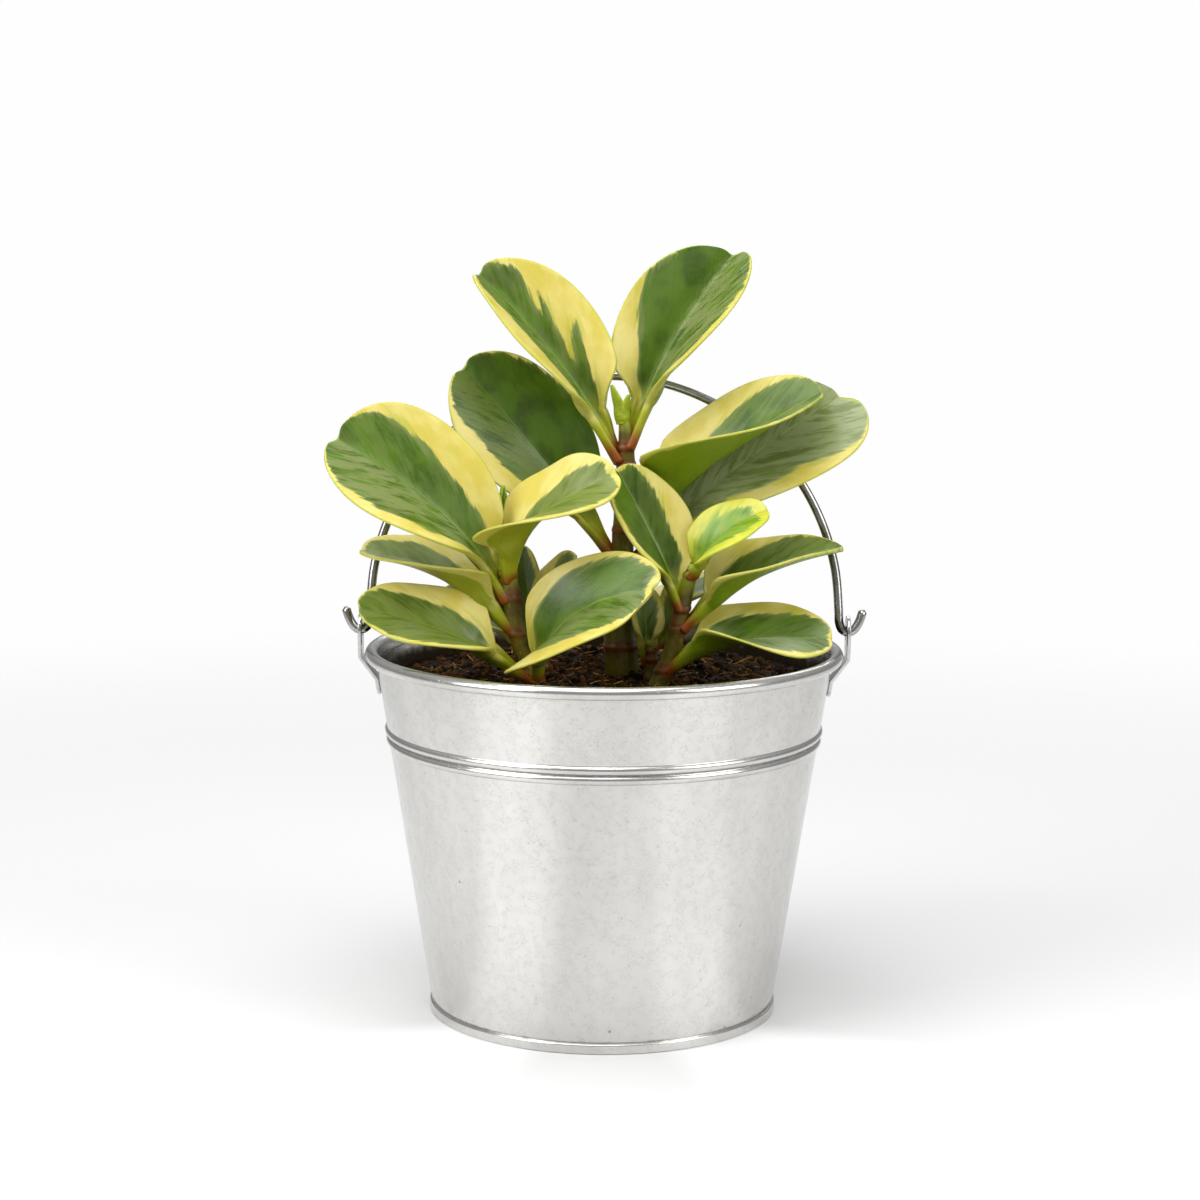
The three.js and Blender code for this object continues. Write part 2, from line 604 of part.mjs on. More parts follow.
const plant = new THREE.Group();
plant.add(piece('bucket_wall', toGeometry(bucketWall()), finish(COLOURS.tin, 0.35, 0.9)));
plant.add(piece('bucket_base', toGeometry(bucketBase()), finish(COLOURS.tin, 0.4, 0.9)));
plant.add(piece('ear_right', toGeometry(ear()), finish(COLOURS.tin, 0.4, 0.9)));
plant.add(piece('ear_left', toGeometry(ear().mirror([1, 0, 0])), finish(COLOURS.tin, 0.4, 0.9)));
plant.add(piece('bail', toGeometry(bail()), finish(COLOURS.steel, 0.3, 1)));
plant.add(piece('soil', toGeometry(soilSolid(STEMS)), finish(COLOURS.soil, 1, 0)));

for (const [name, stem] of Object.entries(STEMS)) {
  let solid = stemSolid(stem, 0);
  for (const bud of BUDS[name] ?? []) {
    solid = solid.add(leafSolid({ ...bud, stalk: BUD_STALK, fold: BUD_FOLD }, BUD_CELLS));
  }
  plant.add(piece(name, toGeometry(solid), finish(COLOURS.stem, 0.5, 0)));
}

for (const [name, leaf] of Object.entries(LEAVES)) {
  const solid = leafSolid(leaf).subtract(stemSolid(STEMS[leaf.stem], GAP));
  plant.add(piece(name, toGeometry(solid), finish(COLOURS.leaf, 0.35, 0)));
}

export default plant;
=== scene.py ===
"""A variegated baby rubber plant that grows in a small zinc bucket with a wire bail.

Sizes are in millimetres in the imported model's frame: +Z is up, +X is to the right, -Y is
the front and the bucket stands on the origin. Meshes are made in metres.
"""

from __future__ import annotations

import logging
import math
from dataclasses import dataclass, field
from enum import Enum
from typing import Any

import bpy
import numpy as np
from mathutils import Matrix, Vector, noise

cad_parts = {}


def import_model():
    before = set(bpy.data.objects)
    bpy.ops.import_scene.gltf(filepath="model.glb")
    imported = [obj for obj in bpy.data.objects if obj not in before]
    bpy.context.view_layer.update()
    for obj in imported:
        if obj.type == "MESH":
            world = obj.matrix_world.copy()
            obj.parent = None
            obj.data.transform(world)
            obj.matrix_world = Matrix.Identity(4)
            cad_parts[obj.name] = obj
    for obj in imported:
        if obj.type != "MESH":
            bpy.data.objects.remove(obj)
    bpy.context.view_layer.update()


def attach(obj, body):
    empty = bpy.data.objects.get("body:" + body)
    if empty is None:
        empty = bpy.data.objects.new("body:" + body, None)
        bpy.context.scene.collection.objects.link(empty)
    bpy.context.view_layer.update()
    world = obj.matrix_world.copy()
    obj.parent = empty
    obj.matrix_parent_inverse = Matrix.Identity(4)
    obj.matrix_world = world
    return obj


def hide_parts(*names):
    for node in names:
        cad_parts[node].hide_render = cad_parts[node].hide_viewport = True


log = logging.getLogger("baby_rubber_plant")

MM = 0.001
# A distance in millimetres that is past every marking near the rib and the rim
FAR = 9.0
WORLD_UP = np.array([0.0, 0.0, 1.0])

Colour = tuple[float, float, float, float]
Point = tuple[float, float, float]


def shown(red: float, green: float, blue: float) -> Colour:
    """Turn a colour as a screen shows it, from 0 to 255, into linear values.

    Args:
        red: The red value.
        green: The green value.
        blue: The blue value.

    Returns:
        Linear red, green and blue, and a full alpha.
    """
    linear = []
    for value in (red, green, blue):
        share = value / 255
        linear.append(share / 12.92 if share <= 0.04045 else ((share + 0.055) / 1.055) ** 2.4)
    return (linear[0], linear[1], linear[2], 1.0)


def ease(value: np.ndarray, low: float, high: float) -> np.ndarray:
    """Go smoothly from 0 at low to 1 at high.

    Args:
        value: The values to ease.
        low: Where the result leaves 0.
        high: Where the result reaches 1.

    Returns:
        The eased values.
    """
    share = np.clip((value - low) / (high - low), 0, 1)
    return share * share * (3 - 2 * share)


def mix(start: Any, end: Any, share: Any) -> Any:
    """The value between start and end, at a share from 0 to 1."""
    return start + (end - start) * share


def unit(vectors: np.ndarray) -> np.ndarray:
    """Vectors of length one in the same directions."""
    return vectors / np.linalg.norm(vectors, axis=-1, keepdims=True)


def turns_round(count: int) -> np.ndarray:
    """The turns of evenly spaced points round a circle, in radians."""
    return 2 * math.pi * np.arange(count) / count


def faces_between(rows: int, sides: int, first: int = 0,
                  closed: bool = False) -> list[tuple[int, ...]]:
    """List the faces that join rings of points, numbered ring by ring.

    Args:
        rows: How many rings there are.
        sides: How many points each ring has.
        first: The first point's number.
        closed: Whether the last ring joins the first one too.

    Returns:
        The corner numbers of each face.
    """
    found: list[tuple[int, ...]] = []
    for i in range(rows if closed else rows - 1):
        low = first + i * sides
        high = first + (i + 1) % rows * sides
        for j in range(sides):
            after = (j + 1) % sides
            found.append((low + j, low + after, high + after, high + j))
    return found


class CentripetalCurve:
    """A smooth curve through points, as three.js draws its centripetal spline."""

    def __init__(self, points: np.ndarray) -> None:
        """Keep the points, with one more reflected past each end.

        Args:
            points: The points that the curve passes through.
        """
        before = 2 * points[0] - points[1]
        after = 2 * points[-1] - points[-2]
        self.spans = len(points) - 1
        self.points = np.vstack([before, points, after])

    def at(self, place: float) -> np.ndarray:
        """The point at a place counted in spans.

        Args:
            place: From 0 at the first point to the number of spans at the last.

        Returns:
            The point on the curve.
        """
        span = min(int(place), self.spans - 1)
        share = place - span
        first, start, end, last = self.points[span:span + 4]
        gaps = [math.sqrt(float(np.linalg.norm(b - a)))
                for a, b in ((first, start), (start, end), (end, last))]
        leave = (start - first) / gaps[0] - (end - first) / (gaps[0] + gaps[1])
        leave = (leave + (end - start) / gaps[1]) * gaps[1]
        arrive = (end - start) / gaps[1] - (last - start) / (gaps[1] + gaps[2])
        arrive = (arrive + (last - end) / gaps[2]) * gaps[1]
        square = -3 * start + 3 * end - 2 * leave - arrive
        cube = 2 * start - 2 * end + leave + arrive
        return start + leave * share + square * share ** 2 + cube * share ** 3


class BezierCurve:
    """A cubic curve that is walked by its length."""

    STEPS = 400

    def __init__(self, path: tuple[Point, ...]) -> None:
        """Measure the curve.

        Args:
            path: Its four control points.
        """
        self.path = np.array(path, float)
        self.shares = np.linspace(0, 1, self.STEPS + 1)
        steps = np.linalg.norm(np.diff(self.points(self.shares), axis=0), axis=1)
        self.walked = np.concatenate([[0.0], np.cumsum(steps)])
        self.length = float(self.walked[-1])

    def points(self, share: np.ndarray) -> np.ndarray:
        """The points at shares of the curve's own parameter."""
        a, b, c, d = self.path
        t = share[:, None]
        return (1 - t) ** 3 * a + 3 * (1 - t) ** 2 * t * b + 3 * (1 - t) * t * t * c + t ** 3 * d

    def walk(self, along: np.ndarray) -> tuple[np.ndarray, np.ndarray]:
        """Find the points and directions at lengths along the curve.

        Args:
            along: Lengths from the curve's start.

        Returns:
            The points and the unit tangents there.
        """
        share = np.interp(along, self.walked, self.shares)
        a, b, c, d = self.path
        t = share[:, None]
        slope = 3 * (1 - t) ** 2 * (b - a) + 6 * (1 - t) * t * (c - b) + 3 * t * t * (d - c)
        return self.points(share), unit(slope)


@dataclass
class Skin:
    """A closed skin lofted through rings of points, with a pole at each end.

    rings has one row of points for each ring, and values holds named numbers or vectors
    for the same points. foot and tip are the poles.
    """

    rings: np.ndarray
    foot: np.ndarray
    tip: np.ndarray
    values: dict[str, np.ndarray] = field(default_factory=dict)

    def points(self) -> np.ndarray:
        """Every point, ring by ring, and then the two poles."""
        return np.vstack([self.rings.reshape(-1, 3), self.foot[None], self.tip[None]])

    def faces(self, first: int) -> list[tuple[int, ...]]:
        """List the faces.

        Args:
            first: The number of the skin's first point in its piece.

        Returns:
            The corner numbers of each face, with the outside on the face's front.
        """
        rows, sides = self.rings.shape[:2]
        found = faces_between(rows, sides, first)
        foot = first + rows * sides
        end = first + (rows - 1) * sides
        for j in range(sides):
            after = (j + 1) % sides
            found.append((foot, first + after, first + j))
            found.append((foot + 1, end + j, end + after))
        return found

    def value(self, name: str) -> np.ndarray:
        """The named values of every point, with each pole given its ring's mean."""
        held = self.values[name]
        flat = held.reshape(-1, *held.shape[2:])
        return np.concatenate([flat, held[0].mean(0)[None], held[-1].mean(0)[None]])


def volume(points: np.ndarray, faces: list[tuple[int, ...]]) -> float:
    """The volume that faces enclose, which is below zero where they point inwards."""
    total = 0.0
    for face in faces:
        a = points[face[0]]
        for k in range(1, len(face) - 1):
            total += float(np.dot(a, np.cross(points[face[k]], points[face[k + 1]])))
    return total / 6


def make_piece(name: str, points: np.ndarray, faces: list[tuple[int, ...]],
               values: dict[str, np.ndarray] | None = None) -> bpy.types.Object:
    """Make an object from points in millimetres.

    Args:
        name: The piece's name.
        points: Its points.
        faces: The corner numbers of its faces.
        values: Named numbers or vectors to keep for each point.

    Returns:
        The smooth-shaded object, at the origin.
    """
    mesh = bpy.data.meshes.new(name)
    mesh.from_pydata((points * MM).tolist(), [], faces)
    mesh.polygons.foreach_set("use_smooth", [True] * len(mesh.polygons))
    for key, held in (values or {}).items():
        if held.ndim == 1:
            store = mesh.attributes.new(key, "FLOAT", "POINT")
            store.data.foreach_set("value", held.astype(np.float32))
        else:
            store = mesh.attributes.new(key, "FLOAT_VECTOR", "POINT")
            store.data.foreach_set("vector", held.astype(np.float32).ravel())
    mesh.validate()
    piece = bpy.data.objects.new(name, mesh)
    bpy.context.scene.collection.objects.link(piece)
    return piece


def skins_piece(name: str, skins: list[Skin]) -> bpy.types.Object:
    """One piece made of skins that share the same named values."""
    points: list[np.ndarray] = []
    faces: list[tuple[int, ...]] = []
    count = 0
    for skin in skins:
        faces.extend(skin.faces(count))
        points.append(skin.points())
        count += len(points[-1])
    values = {key: np.concatenate([skin.value(key) for skin in skins]) for key in skins[0].values}
    return make_piece(name, np.vstack(points), faces, values)


def dress(piece: bpy.types.Object, node: str | None, body: str, slot: str,
          *materials: bpy.types.Material) -> None:
    """Give a piece its materials and its body, and hide the solid that it stands for.

    Args:
        piece: The finished piece.
        node: The solid that it replaces, or None for an added piece.
        body: The body that it moves with.
        slot: The record's material slot; not used.
        materials: The materials, where they aren't on the mesh already.
    """
    for material in materials:
        piece.data.materials.append(material)
    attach(piece, body)
    if node is not None:
        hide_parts(node)
    log.info("%s: %d faces, on %s", piece.name, len(piece.data.polygons), body)


def apply_modifiers(piece: bpy.types.Object) -> None:
    """Turn what the modifiers make into the piece's plain mesh, and remove them."""
    bpy.context.view_layer.update()
    graph = bpy.context.evaluated_depsgraph_get()
    mesh = bpy.data.meshes.new_from_object(
        piece.evaluated_get(graph), preserve_all_data_layers=True, depsgraph=graph)
    old = piece.data
    piece.modifiers.clear()
    piece.data = mesh
    mesh.name = piece.name
    bpy.data.meshes.remove(old)


class Bench:
    """Places nodes in one tree and joins them."""

    def __init__(self, tree: bpy.types.NodeTree) -> None:
        """Work on a tree."""
        self.tree = tree

    def node(self, kind: str, **settings: Any) -> bpy.types.Node:
        """Add a node and give it its settings."""
        made = self.tree.nodes.new(kind)
        for key, value in settings.items():
            setattr(made, key, value)
        return made

    def feed(self, socket: bpy.types.NodeSocket, source: Any) -> None:
        """Join a socket to another one, or give it a plain value."""
        if isinstance(source, bpy.types.NodeSocket):
            self.tree.links.new(source, socket)
        elif source is not None:
            socket.default_value = source

    def fill(self, node: bpy.types.Node, **sources: Any) -> None:
        """Feed a node's inputs by name, with _ for each space in the name."""
        for key, source in sources.items():
            self.feed(node.inputs[key.replace("_", " ")], source)

    def math(self, operation: str, first: Any, second: Any = None, third: Any = None) -> Any:
        """Work out one sum.

        Args:
            operation: The Math node's operation.
            first: The first value or socket.
            second: The second one, where there is one.
            third: The third one, where there is one.

        Returns:
            The socket that holds the result.
        """
        made = self.node("ShaderNodeMath", operation=operation)
        for socket, source in zip(made.inputs, (first, second, third)):
            self.feed(socket, source)
        return made.outputs[0]

    def times(self, first: Any, second: Any) -> Any:
        """A socket with the product of two values."""
        return self.math("MULTIPLY", first, second)

    def rest(self, share: Any) -> Any:
        """A socket with what a share leaves of one."""
        return self.math("SUBTRACT", 1, share)

    def swing(self, value: Any, reach: float, base: Any = 0.0) -> Any:
        """A socket with a base that a noise moves up and down, by its distance from a half."""
        return self.math("MULTIPLY_ADD", self.math("SUBTRACT", value, 0.5), reach, base)

    def ease(self, value: Any, low: Any, high: Any) -> Any:
        """A socket that goes smoothly from 0 at low to 1 at high."""
        made = self.node("ShaderNodeMapRange", interpolation_type="SMOOTHSTEP")
        self.fill(made, Value=value, From_Min=low, From_Max=high)
        return made.outputs["Result"]

    def blend(self, first: Any, second: Any, share: Any) -> Any:
        """A socket with the colour between two colours, at a share from 0 to 1."""
        made = self.node("ShaderNodeMix", data_type="RGBA")
        self.feed(made.inputs[0], share)
        self.feed(made.inputs[6], first)
        self.feed(made.inputs[7], second)
        return made.outputs[2]

    def vector(self, x: Any, y: Any, z: Any) -> Any:
        """A socket with a vector made from three values."""
        made = self.node("ShaderNodeCombineXYZ")
        for socket, source in zip(made.inputs, (x, y, z)):
            self.feed(socket, source)
        return made.outputs[0]

    def parts(self, vector: Any) -> list[Any]:
        """Three sockets with the parts of a vector."""
        made = self.node("ShaderNodeSeparateXYZ")
        self.feed(made.inputs[0], vector)
        return list(made.outputs)

    def scaled(self, vector: Any, x: float, y: float, z: float, shift: float = 0.0) -> Any:
        """A socket with a vector scaled along each axis and shifted."""
        made = self.node("ShaderNodeMapping")
        self.fill(made, Vector=vector, Scale=(x, y, z), Location=(shift, shift, shift))
        return made.outputs[0]

    def noise(self, vector: Any, scale: float, detail: float = 2.0, rough: float = 0.5,
              bend: float = 0.0) -> Any:
        """A socket with soft noise.

        Args:
            vector: Where the noise is read.
            scale: How many grains there are to one unit.
            detail: How many finer layers it has.
            rough: How strong the finer layers are.
            bend: How far it is distorted.

        Returns:
            The noise's value, about 0.5 on the average.
        """
        made = self.node("ShaderNodeTexNoise")
        self.fill(made, Vector=vector, Scale=scale, Detail=detail, Roughness=rough, Distortion=bend)
        return made.outputs[0]

    def attribute(self, name: str, part: str = "Fac") -> Any:
        """A socket that reads one of the piece's own values."""
        return self.node("ShaderNodeAttribute", attribute_name=name).outputs[part]

    def place(self) -> Any:
        """A socket with the point on the piece, in metres."""
        return self.node("ShaderNodeTexCoord").outputs["Object"]


def new_group(name: str, takes: dict[str, str], gives: dict[str, str]) -> tuple[Any, Any, Any]:
    """Start a shared group of shader nodes.

    Args:
        name: The group's name.
        takes: Each input's name and kind: Float, Vector or Color.
        gives: The same for the outputs.

    Returns:
        The bench of the group, its input node and its output node.
    """
    tree = bpy.data.node_groups.new(name, "ShaderNodeTree")
    for key, kind in takes.items():
        tree.interface.new_socket(name=key, in_out="INPUT", socket_type=f"NodeSocket{kind}")
    for key, kind in gives.items():
        tree.interface.new_socket(name=key, in_out="OUTPUT", socket_type=f"NodeSocket{kind}")
    bench = Bench(tree)
    return bench, bench.node("NodeGroupInput"), bench.node("NodeGroupOutput")


def place_group(bench: Bench, tree: bpy.types.NodeTree, **sources: Any) -> bpy.types.Node:
    """Put a shared group in a material and feed its inputs by name.

    Args:
        bench: The material's bench.
        tree: The shared group.
        sources: A socket or value for each input, with _ for each space in its name.

    Returns:
        The group's node.
    """
    made = bench.node("ShaderNodeGroup", node_tree=tree)
    bench.fill(made, **sources)
    return made


def new_material(name: str) -> tuple[bpy.types.Material, Bench, bpy.types.Node]:
    """Start a material with an empty Principled shader.

    Args:
        name: The material's name.

    Returns:
        The material, the bench of its tree and its shader.
    """
    material = bpy.data.materials.new(name)
    material.use_nodes = True
    material.node_tree.nodes.clear()
    bench = Bench(material.node_tree)
    shader = bench.node("ShaderNodeBsdfPrincipled")
    output = bench.node("ShaderNodeOutputMaterial")
    bench.feed(output.inputs["Surface"], shader.outputs[0])
    return material, bench, shader


def add_bump(bench: Bench, shader: bpy.types.Node, height: Any, depth: float,
             strength: float = 1.0) -> None:
    """Give a shader relief.

    Args:
        bench: The material's bench.
        shader: The shader.
        height: The socket with the height.
        depth: How deep a height of one is, in millimetres.
        strength: How strongly it shows.
    """
    bump = bench.node("ShaderNodeBump")
    bench.fill(bump, Strength=strength, Distance=depth * MM, Height=height)
    bench.fill(shader, Normal=bump.outputs[0])


class Effects:
    """The shader groups that several materials share."""

    def __init__(self) -> None:
        """Build each group once."""
        self.leaf_markings = self._leaf_markings()
        self.zinc_skin = self._zinc_skin()
        self.bark_mottle = self._bark_mottle()

    def _leaf_markings(self) -> bpy.types.NodeTree:
        """The cream margin, the grey and green streaks along the veins, partly painted sheen, and the
        midrib.
        """
        takes = {
            "Vein": "Vector", "Cream depth": "Float", "Across": "Float", "Along": "Float",
            "Rim": "Float", "Under": "Float", "Stalk": "Float", "Greyed": "Float",
            "Ragged": "Float", "Dark": "Color", "Green": "Color", "Grey": "Color",
            "Cream": "Color", "Deep cream": "Color", "Lime": "Color", "Rib": "Color",
            "Underside": "Color", "Petiole": "Color", "Foot": "Color",
        }
        gives = {"Colour": "Color", "Roughness": "Float", "Height": "Float"}
        b, start, end = new_group("leaf_markings", takes, gives)
        inp = start.outputs
        vein = inp["Vein"]
        teeth = b.noise(b.scaled(vein, 0.36, 0.07, 1), 1, 1.5, 0.5)
        fine = b.noise(b.scaled(vein, 1.3, 0.15, 1, 5), 1, 2, 0.6)
        streak = b.noise(b.scaled(vein, 0.42, 0.07, 1, 11), 1, 3, 0.62)
        blotch = b.noise(b.scaled(vein, 0.11, 0.09, 1, 17), 1, 2, 0.5)
        hair = b.noise(b.scaled(vein, 1.5, 0.2, 1, 23), 1, 2, 0.6)
        cells = b.noise(b.scaled(vein, 0.8, 0.7, 1, 29), 1, 2, 0.55)

        shift = b.swing(fine, 2.0, b.swing(teeth, 3.4))
        depth = b.math("MULTIPLY_ADD", shift, inp["Ragged"], inp["Cream depth"])
        cream_mask = b.ease(depth, -0.42, 0.46)
        drift = b.swing(streak, 7.0, depth)
        between_them = b.times(b.ease(drift, -2.4, 0.3), 0.8)

        green = b.blend(inp["Dark"], inp["Green"], b.ease(blotch, 0.34, 0.64))
        mottle = b.times(b.ease(cells, 0.42, 0.7), 0.22)
        green = b.blend(green, inp["Green"], mottle)
        lines = b.times(b.ease(hair, 0.44, 0.7), 0.2)
        green = b.blend(green, inp["Dark"], lines)
        # Grey streaks and the grey zone by the cream: partly the leaf's real grey-green, partly painted
        # sheen on a half that catches the light.
        streaks = b.swing(fine, 0.35, streak)
        grey_and_sheen_share = b.times(b.ease(streaks, 0.37, 0.56), inp["Greyed"])
        grey_and_sheen_share = b.math("MAXIMUM", grey_and_sheen_share, between_them)
        body = b.blend(green, inp["Grey"], grey_and_sheen_share)
        body = b.blend(body, inp["Dark"], b.times(b.times(lines, grey_and_sheen_share), 0.4))

        pale = b.blend(inp["Cream"], inp["Deep cream"], b.ease(blotch, 0.36, 0.66))
        inside = b.rest(b.ease(depth, 0.2, 3.4))
        tinge = b.times(b.ease(streak, 0.5, 0.66), b.math("MULTIPLY_ADD", inside, 0.45, 0.1))
        pale = b.blend(pale, inp["Lime"], tinge)
        face = b.blend(body, pale, cream_mask)

        near_rib = b.rest(b.ease(inp["Across"], 0.1, 0.5))
        fading = b.math("MULTIPLY_ADD", inp["Along"], -0.75, 0.8)
        face = b.blend(face, inp["Rib"], b.times(near_rib, fading))
        rim = b.rest(b.ease(inp["Rim"], 0.1, 0.6))
        face = b.blend(face, inp["Lime"], b.times(rim, 0.65))
        glow = b.rest(b.ease(inp["Along"], 0.0, 0.14))
        face = b.blend(face, inp["Petiole"], b.times(glow, 0.4))
        veined = b.blend(inp["Underside"], inp["Green"], b.times(lines, 1.4))
        below = b.blend(veined, pale, b.times(cream_mask, 0.7))
        face = b.blend(face, below, b.times(inp["Under"], 0.92))

        face = b.blend(face, inp["Petiole"], b.ease(inp["Stalk"], 0.0, 0.3))
        ruddy = b.swing(fine, 0.4, b.swing(blotch, 0.6, inp["Stalk"]))
        face = b.blend(face, inp["Foot"], b.ease(ruddy, 0.34, 0.8))
        b.feed(end.inputs["Colour"], face)
        rough = b.math("MULTIPLY_ADD", fine, 0.14, 0.24)
        b.feed(end.inputs["Roughness"], b.math("MULTIPLY_ADD", inp["Under"], 0.14, rough))
        relief = b.math("MULTIPLY_ADD", lines, -0.8, b.times(cells, 0.8))
        b.feed(end.inputs["Height"], b.math("MULTIPLY_ADD", near_rib, -0.8, relief))
        return b.tree

    def _zinc_skin(self) -> bpy.types.NodeTree:
        """Hot-dipped zinc: fine curls, cloudy patches, wipe marks and specks, and a darkening that is
        mostly painted shade.
        """
        takes = {"Place": "Vector", "Grime": "Float", "Zinc": "Color", "Dull": "Color",
                 "Dirt": "Color"}
        gives = {"Colour": "Color", "Roughness": "Float", "Height": "Float"}
        b, start, end = new_group("zinc_skin", takes, gives)
        inp = start.outputs
        place = inp["Place"]
        curl = b.noise(place, 820, 1.5, 0.5, 1.8)
        ridge = b.math("ABSOLUTE", b.math("SUBTRACT", curl, 0.5))
        curls = b.rest(b.ease(ridge, 0.0, 0.05))
        broken = b.ease(b.noise(b.scaled(place, 1, 1, 1, 0.4), 330, 1, 0.5), 0.36, 0.58)
        curls = b.times(curls, broken)
        cloud = b.noise(b.scaled(place, 1, 1, 0.5, 0.7), 30, 3, 0.55)
        wiped = b.noise(b.scaled(place, 1, 1, 0.1, 1.1), 150, 2, 0.6)
        grain = b.noise(place, 1500, 1, 0.5)
        tone = b.math("MULTIPLY_ADD", b.ease(cloud, 0.3, 0.72), 0.55, b.times(wiped, 0.35))
        colour = b.blend(inp["Zinc"], inp["Dull"], tone)
        colour = b.blend(colour, inp["Dirt"], b.times(curls, 0.24))
        spots = b.node("ShaderNodeTexVoronoi")
        b.fill(spots, Vector=place, Scale=95)
        speck = b.rest(b.ease(spots.outputs["Distance"], 0.02, 0.07))
        rare = b.ease(b.noise(place, 60, 1, 0.5), 0.55, 0.65)
        colour = b.blend(colour, inp["Dirt"], b.times(b.times(speck, rare), 0.5))
        # Darken towards the dark colour in patches where asked: painted shade in creases and inside the
        # wall, and a darker base.
        gathered = b.math("MULTIPLY_ADD", b.noise(place, 240, 3, 0.6), 0.7, inp["Grime"])
        patchy = b.ease(gathered, 0.62, 1.3)
        colour = b.blend(colour, inp["Dirt"], patchy)
        b.feed(end.inputs["Colour"], colour)
        rough = b.math("MULTIPLY_ADD", cloud, 0.12, 0.13)
        rough = b.math("MULTIPLY_ADD", curls, 0.08, rough)
        b.feed(end.inputs["Roughness"], b.math("MULTIPLY_ADD", patchy, 0.25, rough))
        relief = b.math("MULTIPLY_ADD", curls, -0.5, b.times(grain, 0.3))
        b.feed(end.inputs["Height"], relief)
        return b.tree

    def _bark_mottle(self) -> bpy.types.NodeTree:
        """Uneven natural colour: broad patches, fine specks and a relief."""
        takes = {"Place": "Vector", "Base": "Color", "Dark": "Color", "Light": "Color"}
        gives = {"Colour": "Color", "Height": "Float"}
        b, start, end = new_group("bark_mottle", takes, gives)
        inp = start.outputs
        patch = b.noise(inp["Place"], 150, 3, 0.6)
        speck = b.noise(b.scaled(inp["Place"], 1, 1, 0.45, 0.9), 900, 2, 0.6)
        colour = b.blend(inp["Base"], inp["Dark"], b.times(b.ease(patch, 0.45, 0.7), 0.8))
        colour = b.blend(colour, inp["Light"], b.times(b.ease(speck, 0.56, 0.74), 0.5))
        b.feed(end.inputs["Colour"], colour)
        b.feed(end.inputs["Height"], b.math("MULTIPLY_ADD", speck, 0.4, patch))
        return b.tree


@dataclass(frozen=True)
class LeafFinish:
    """The living surface of a leaf."""

    name: str
    dark: Colour
    green: Colour
    grey_and_sheen: Colour
    ragged: float = 1.0
    cream: Colour = shown(222, 208, 122)
    deep_cream: Colour = shown(208, 192, 84)
    lime: Colour = shown(166, 178, 52)
    rib: Colour = shown(124, 150, 34)
    underside: Colour = shown(124, 148, 0)
    petiole: Colour = shown(160, 166, 26)
    foot: Colour = shown(140, 72, 10)

    def material(self, effects: Effects) -> bpy.types.Material:
        """Build the material.

        Args:
            effects: The shared shader groups.

        Returns:
            The finished material.
        """
        material, b, shader = new_material(self.name)
        marks = place_group(
            b, effects.leaf_markings, Vein=b.attribute("vein", "Vector"),
            Cream_depth=b.attribute("cream_depth"), Across=b.attribute("across"),
            Along=b.attribute("along"), Rim=b.attribute("rim"), Under=b.attribute("under"),
            Stalk=b.attribute("stalk"), Greyed=b.attribute("grey_and_sheen_share"), Ragged=self.ragged,
            Dark=self.dark, Green=self.green, Grey=self.grey_and_sheen, Cream=self.cream,
            Deep_cream=self.deep_cream, Lime=self.lime, Rib=self.rib,
            Underside=self.underside, Petiole=self.petiole, Foot=self.foot)
        b.fill(shader, Base_Color=marks.outputs["Colour"], Roughness=marks.outputs["Roughness"],
               Specular_IOR_Level=0.42, Subsurface_Weight=0.1,
               Subsurface_Radius=(0.9, 1.0, 0.25), Subsurface_Scale=1.2 * MM)
        add_bump(b, shader, marks.outputs["Height"], 0.14, 0.6)
        return material


class LeafKind(Enum):
    """The ages and tints of leaf on the plant."""

    DEEP = "deep_green_leaf"
    MATURE = "mature_leaf"
    GREYED = "grey_green_leaf"
    PALE = "pale_leaf"
    # A lighter copy of the leaf colours, with painted sheen and light.
    SHEEN_LIT = "sheen_lit_leaf"
    YOUNG = "young_leaf"


LEAF_FINISHES = {
    LeafKind.DEEP: LeafFinish("deep_green_leaf", dark=shown(52, 76, 0), green=shown(74, 106, 4),
                              grey_and_sheen=shown(104, 120, 56)),
    LeafKind.MATURE: LeafFinish("mature_leaf", dark=shown(62, 90, 12), green=shown(88, 120, 28),
                                grey_and_sheen=shown(124, 136, 80)),
    LeafKind.GREYED: LeafFinish("grey_green_leaf", dark=shown(72, 94, 24), green=shown(96, 118, 36),
                                grey_and_sheen=shown(118, 132, 66)),
    LeafKind.PALE: LeafFinish("pale_leaf", dark=shown(84, 102, 26), green=shown(104, 122, 40),
                              grey_and_sheen=shown(126, 140, 68), underside=shown(150, 156, 26)),
    # Lighter copy for a leaf whose near half catches the light: painted sheen.
    LeafKind.SHEEN_LIT: LeafFinish("sheen_lit_leaf", dark=shown(106, 120, 60), green=shown(122, 136, 74),
                                 grey_and_sheen=shown(148, 159, 110)),
    LeafKind.YOUNG: LeafFinish("young_leaf", dark=shown(72, 122, 10), green=shown(116, 154, 22),
                               grey_and_sheen=shown(158, 184, 82), ragged=1.3,
                               cream=shown(216, 212, 86), deep_cream=shown(200, 202, 56),
                               lime=shown(160, 184, 34), underside=shown(150, 168, 22),
                               petiole=shown(164, 176, 26)),
}


@dataclass(frozen=True)
class Flame:
    """A tongue of green that runs out into the cream along a vein.

    Its start and end are shares along the blade and across the half, and its width at the
    start is in millimetres.
    """

    start: tuple[float, float]
    end: tuple[float, float]
    width: float


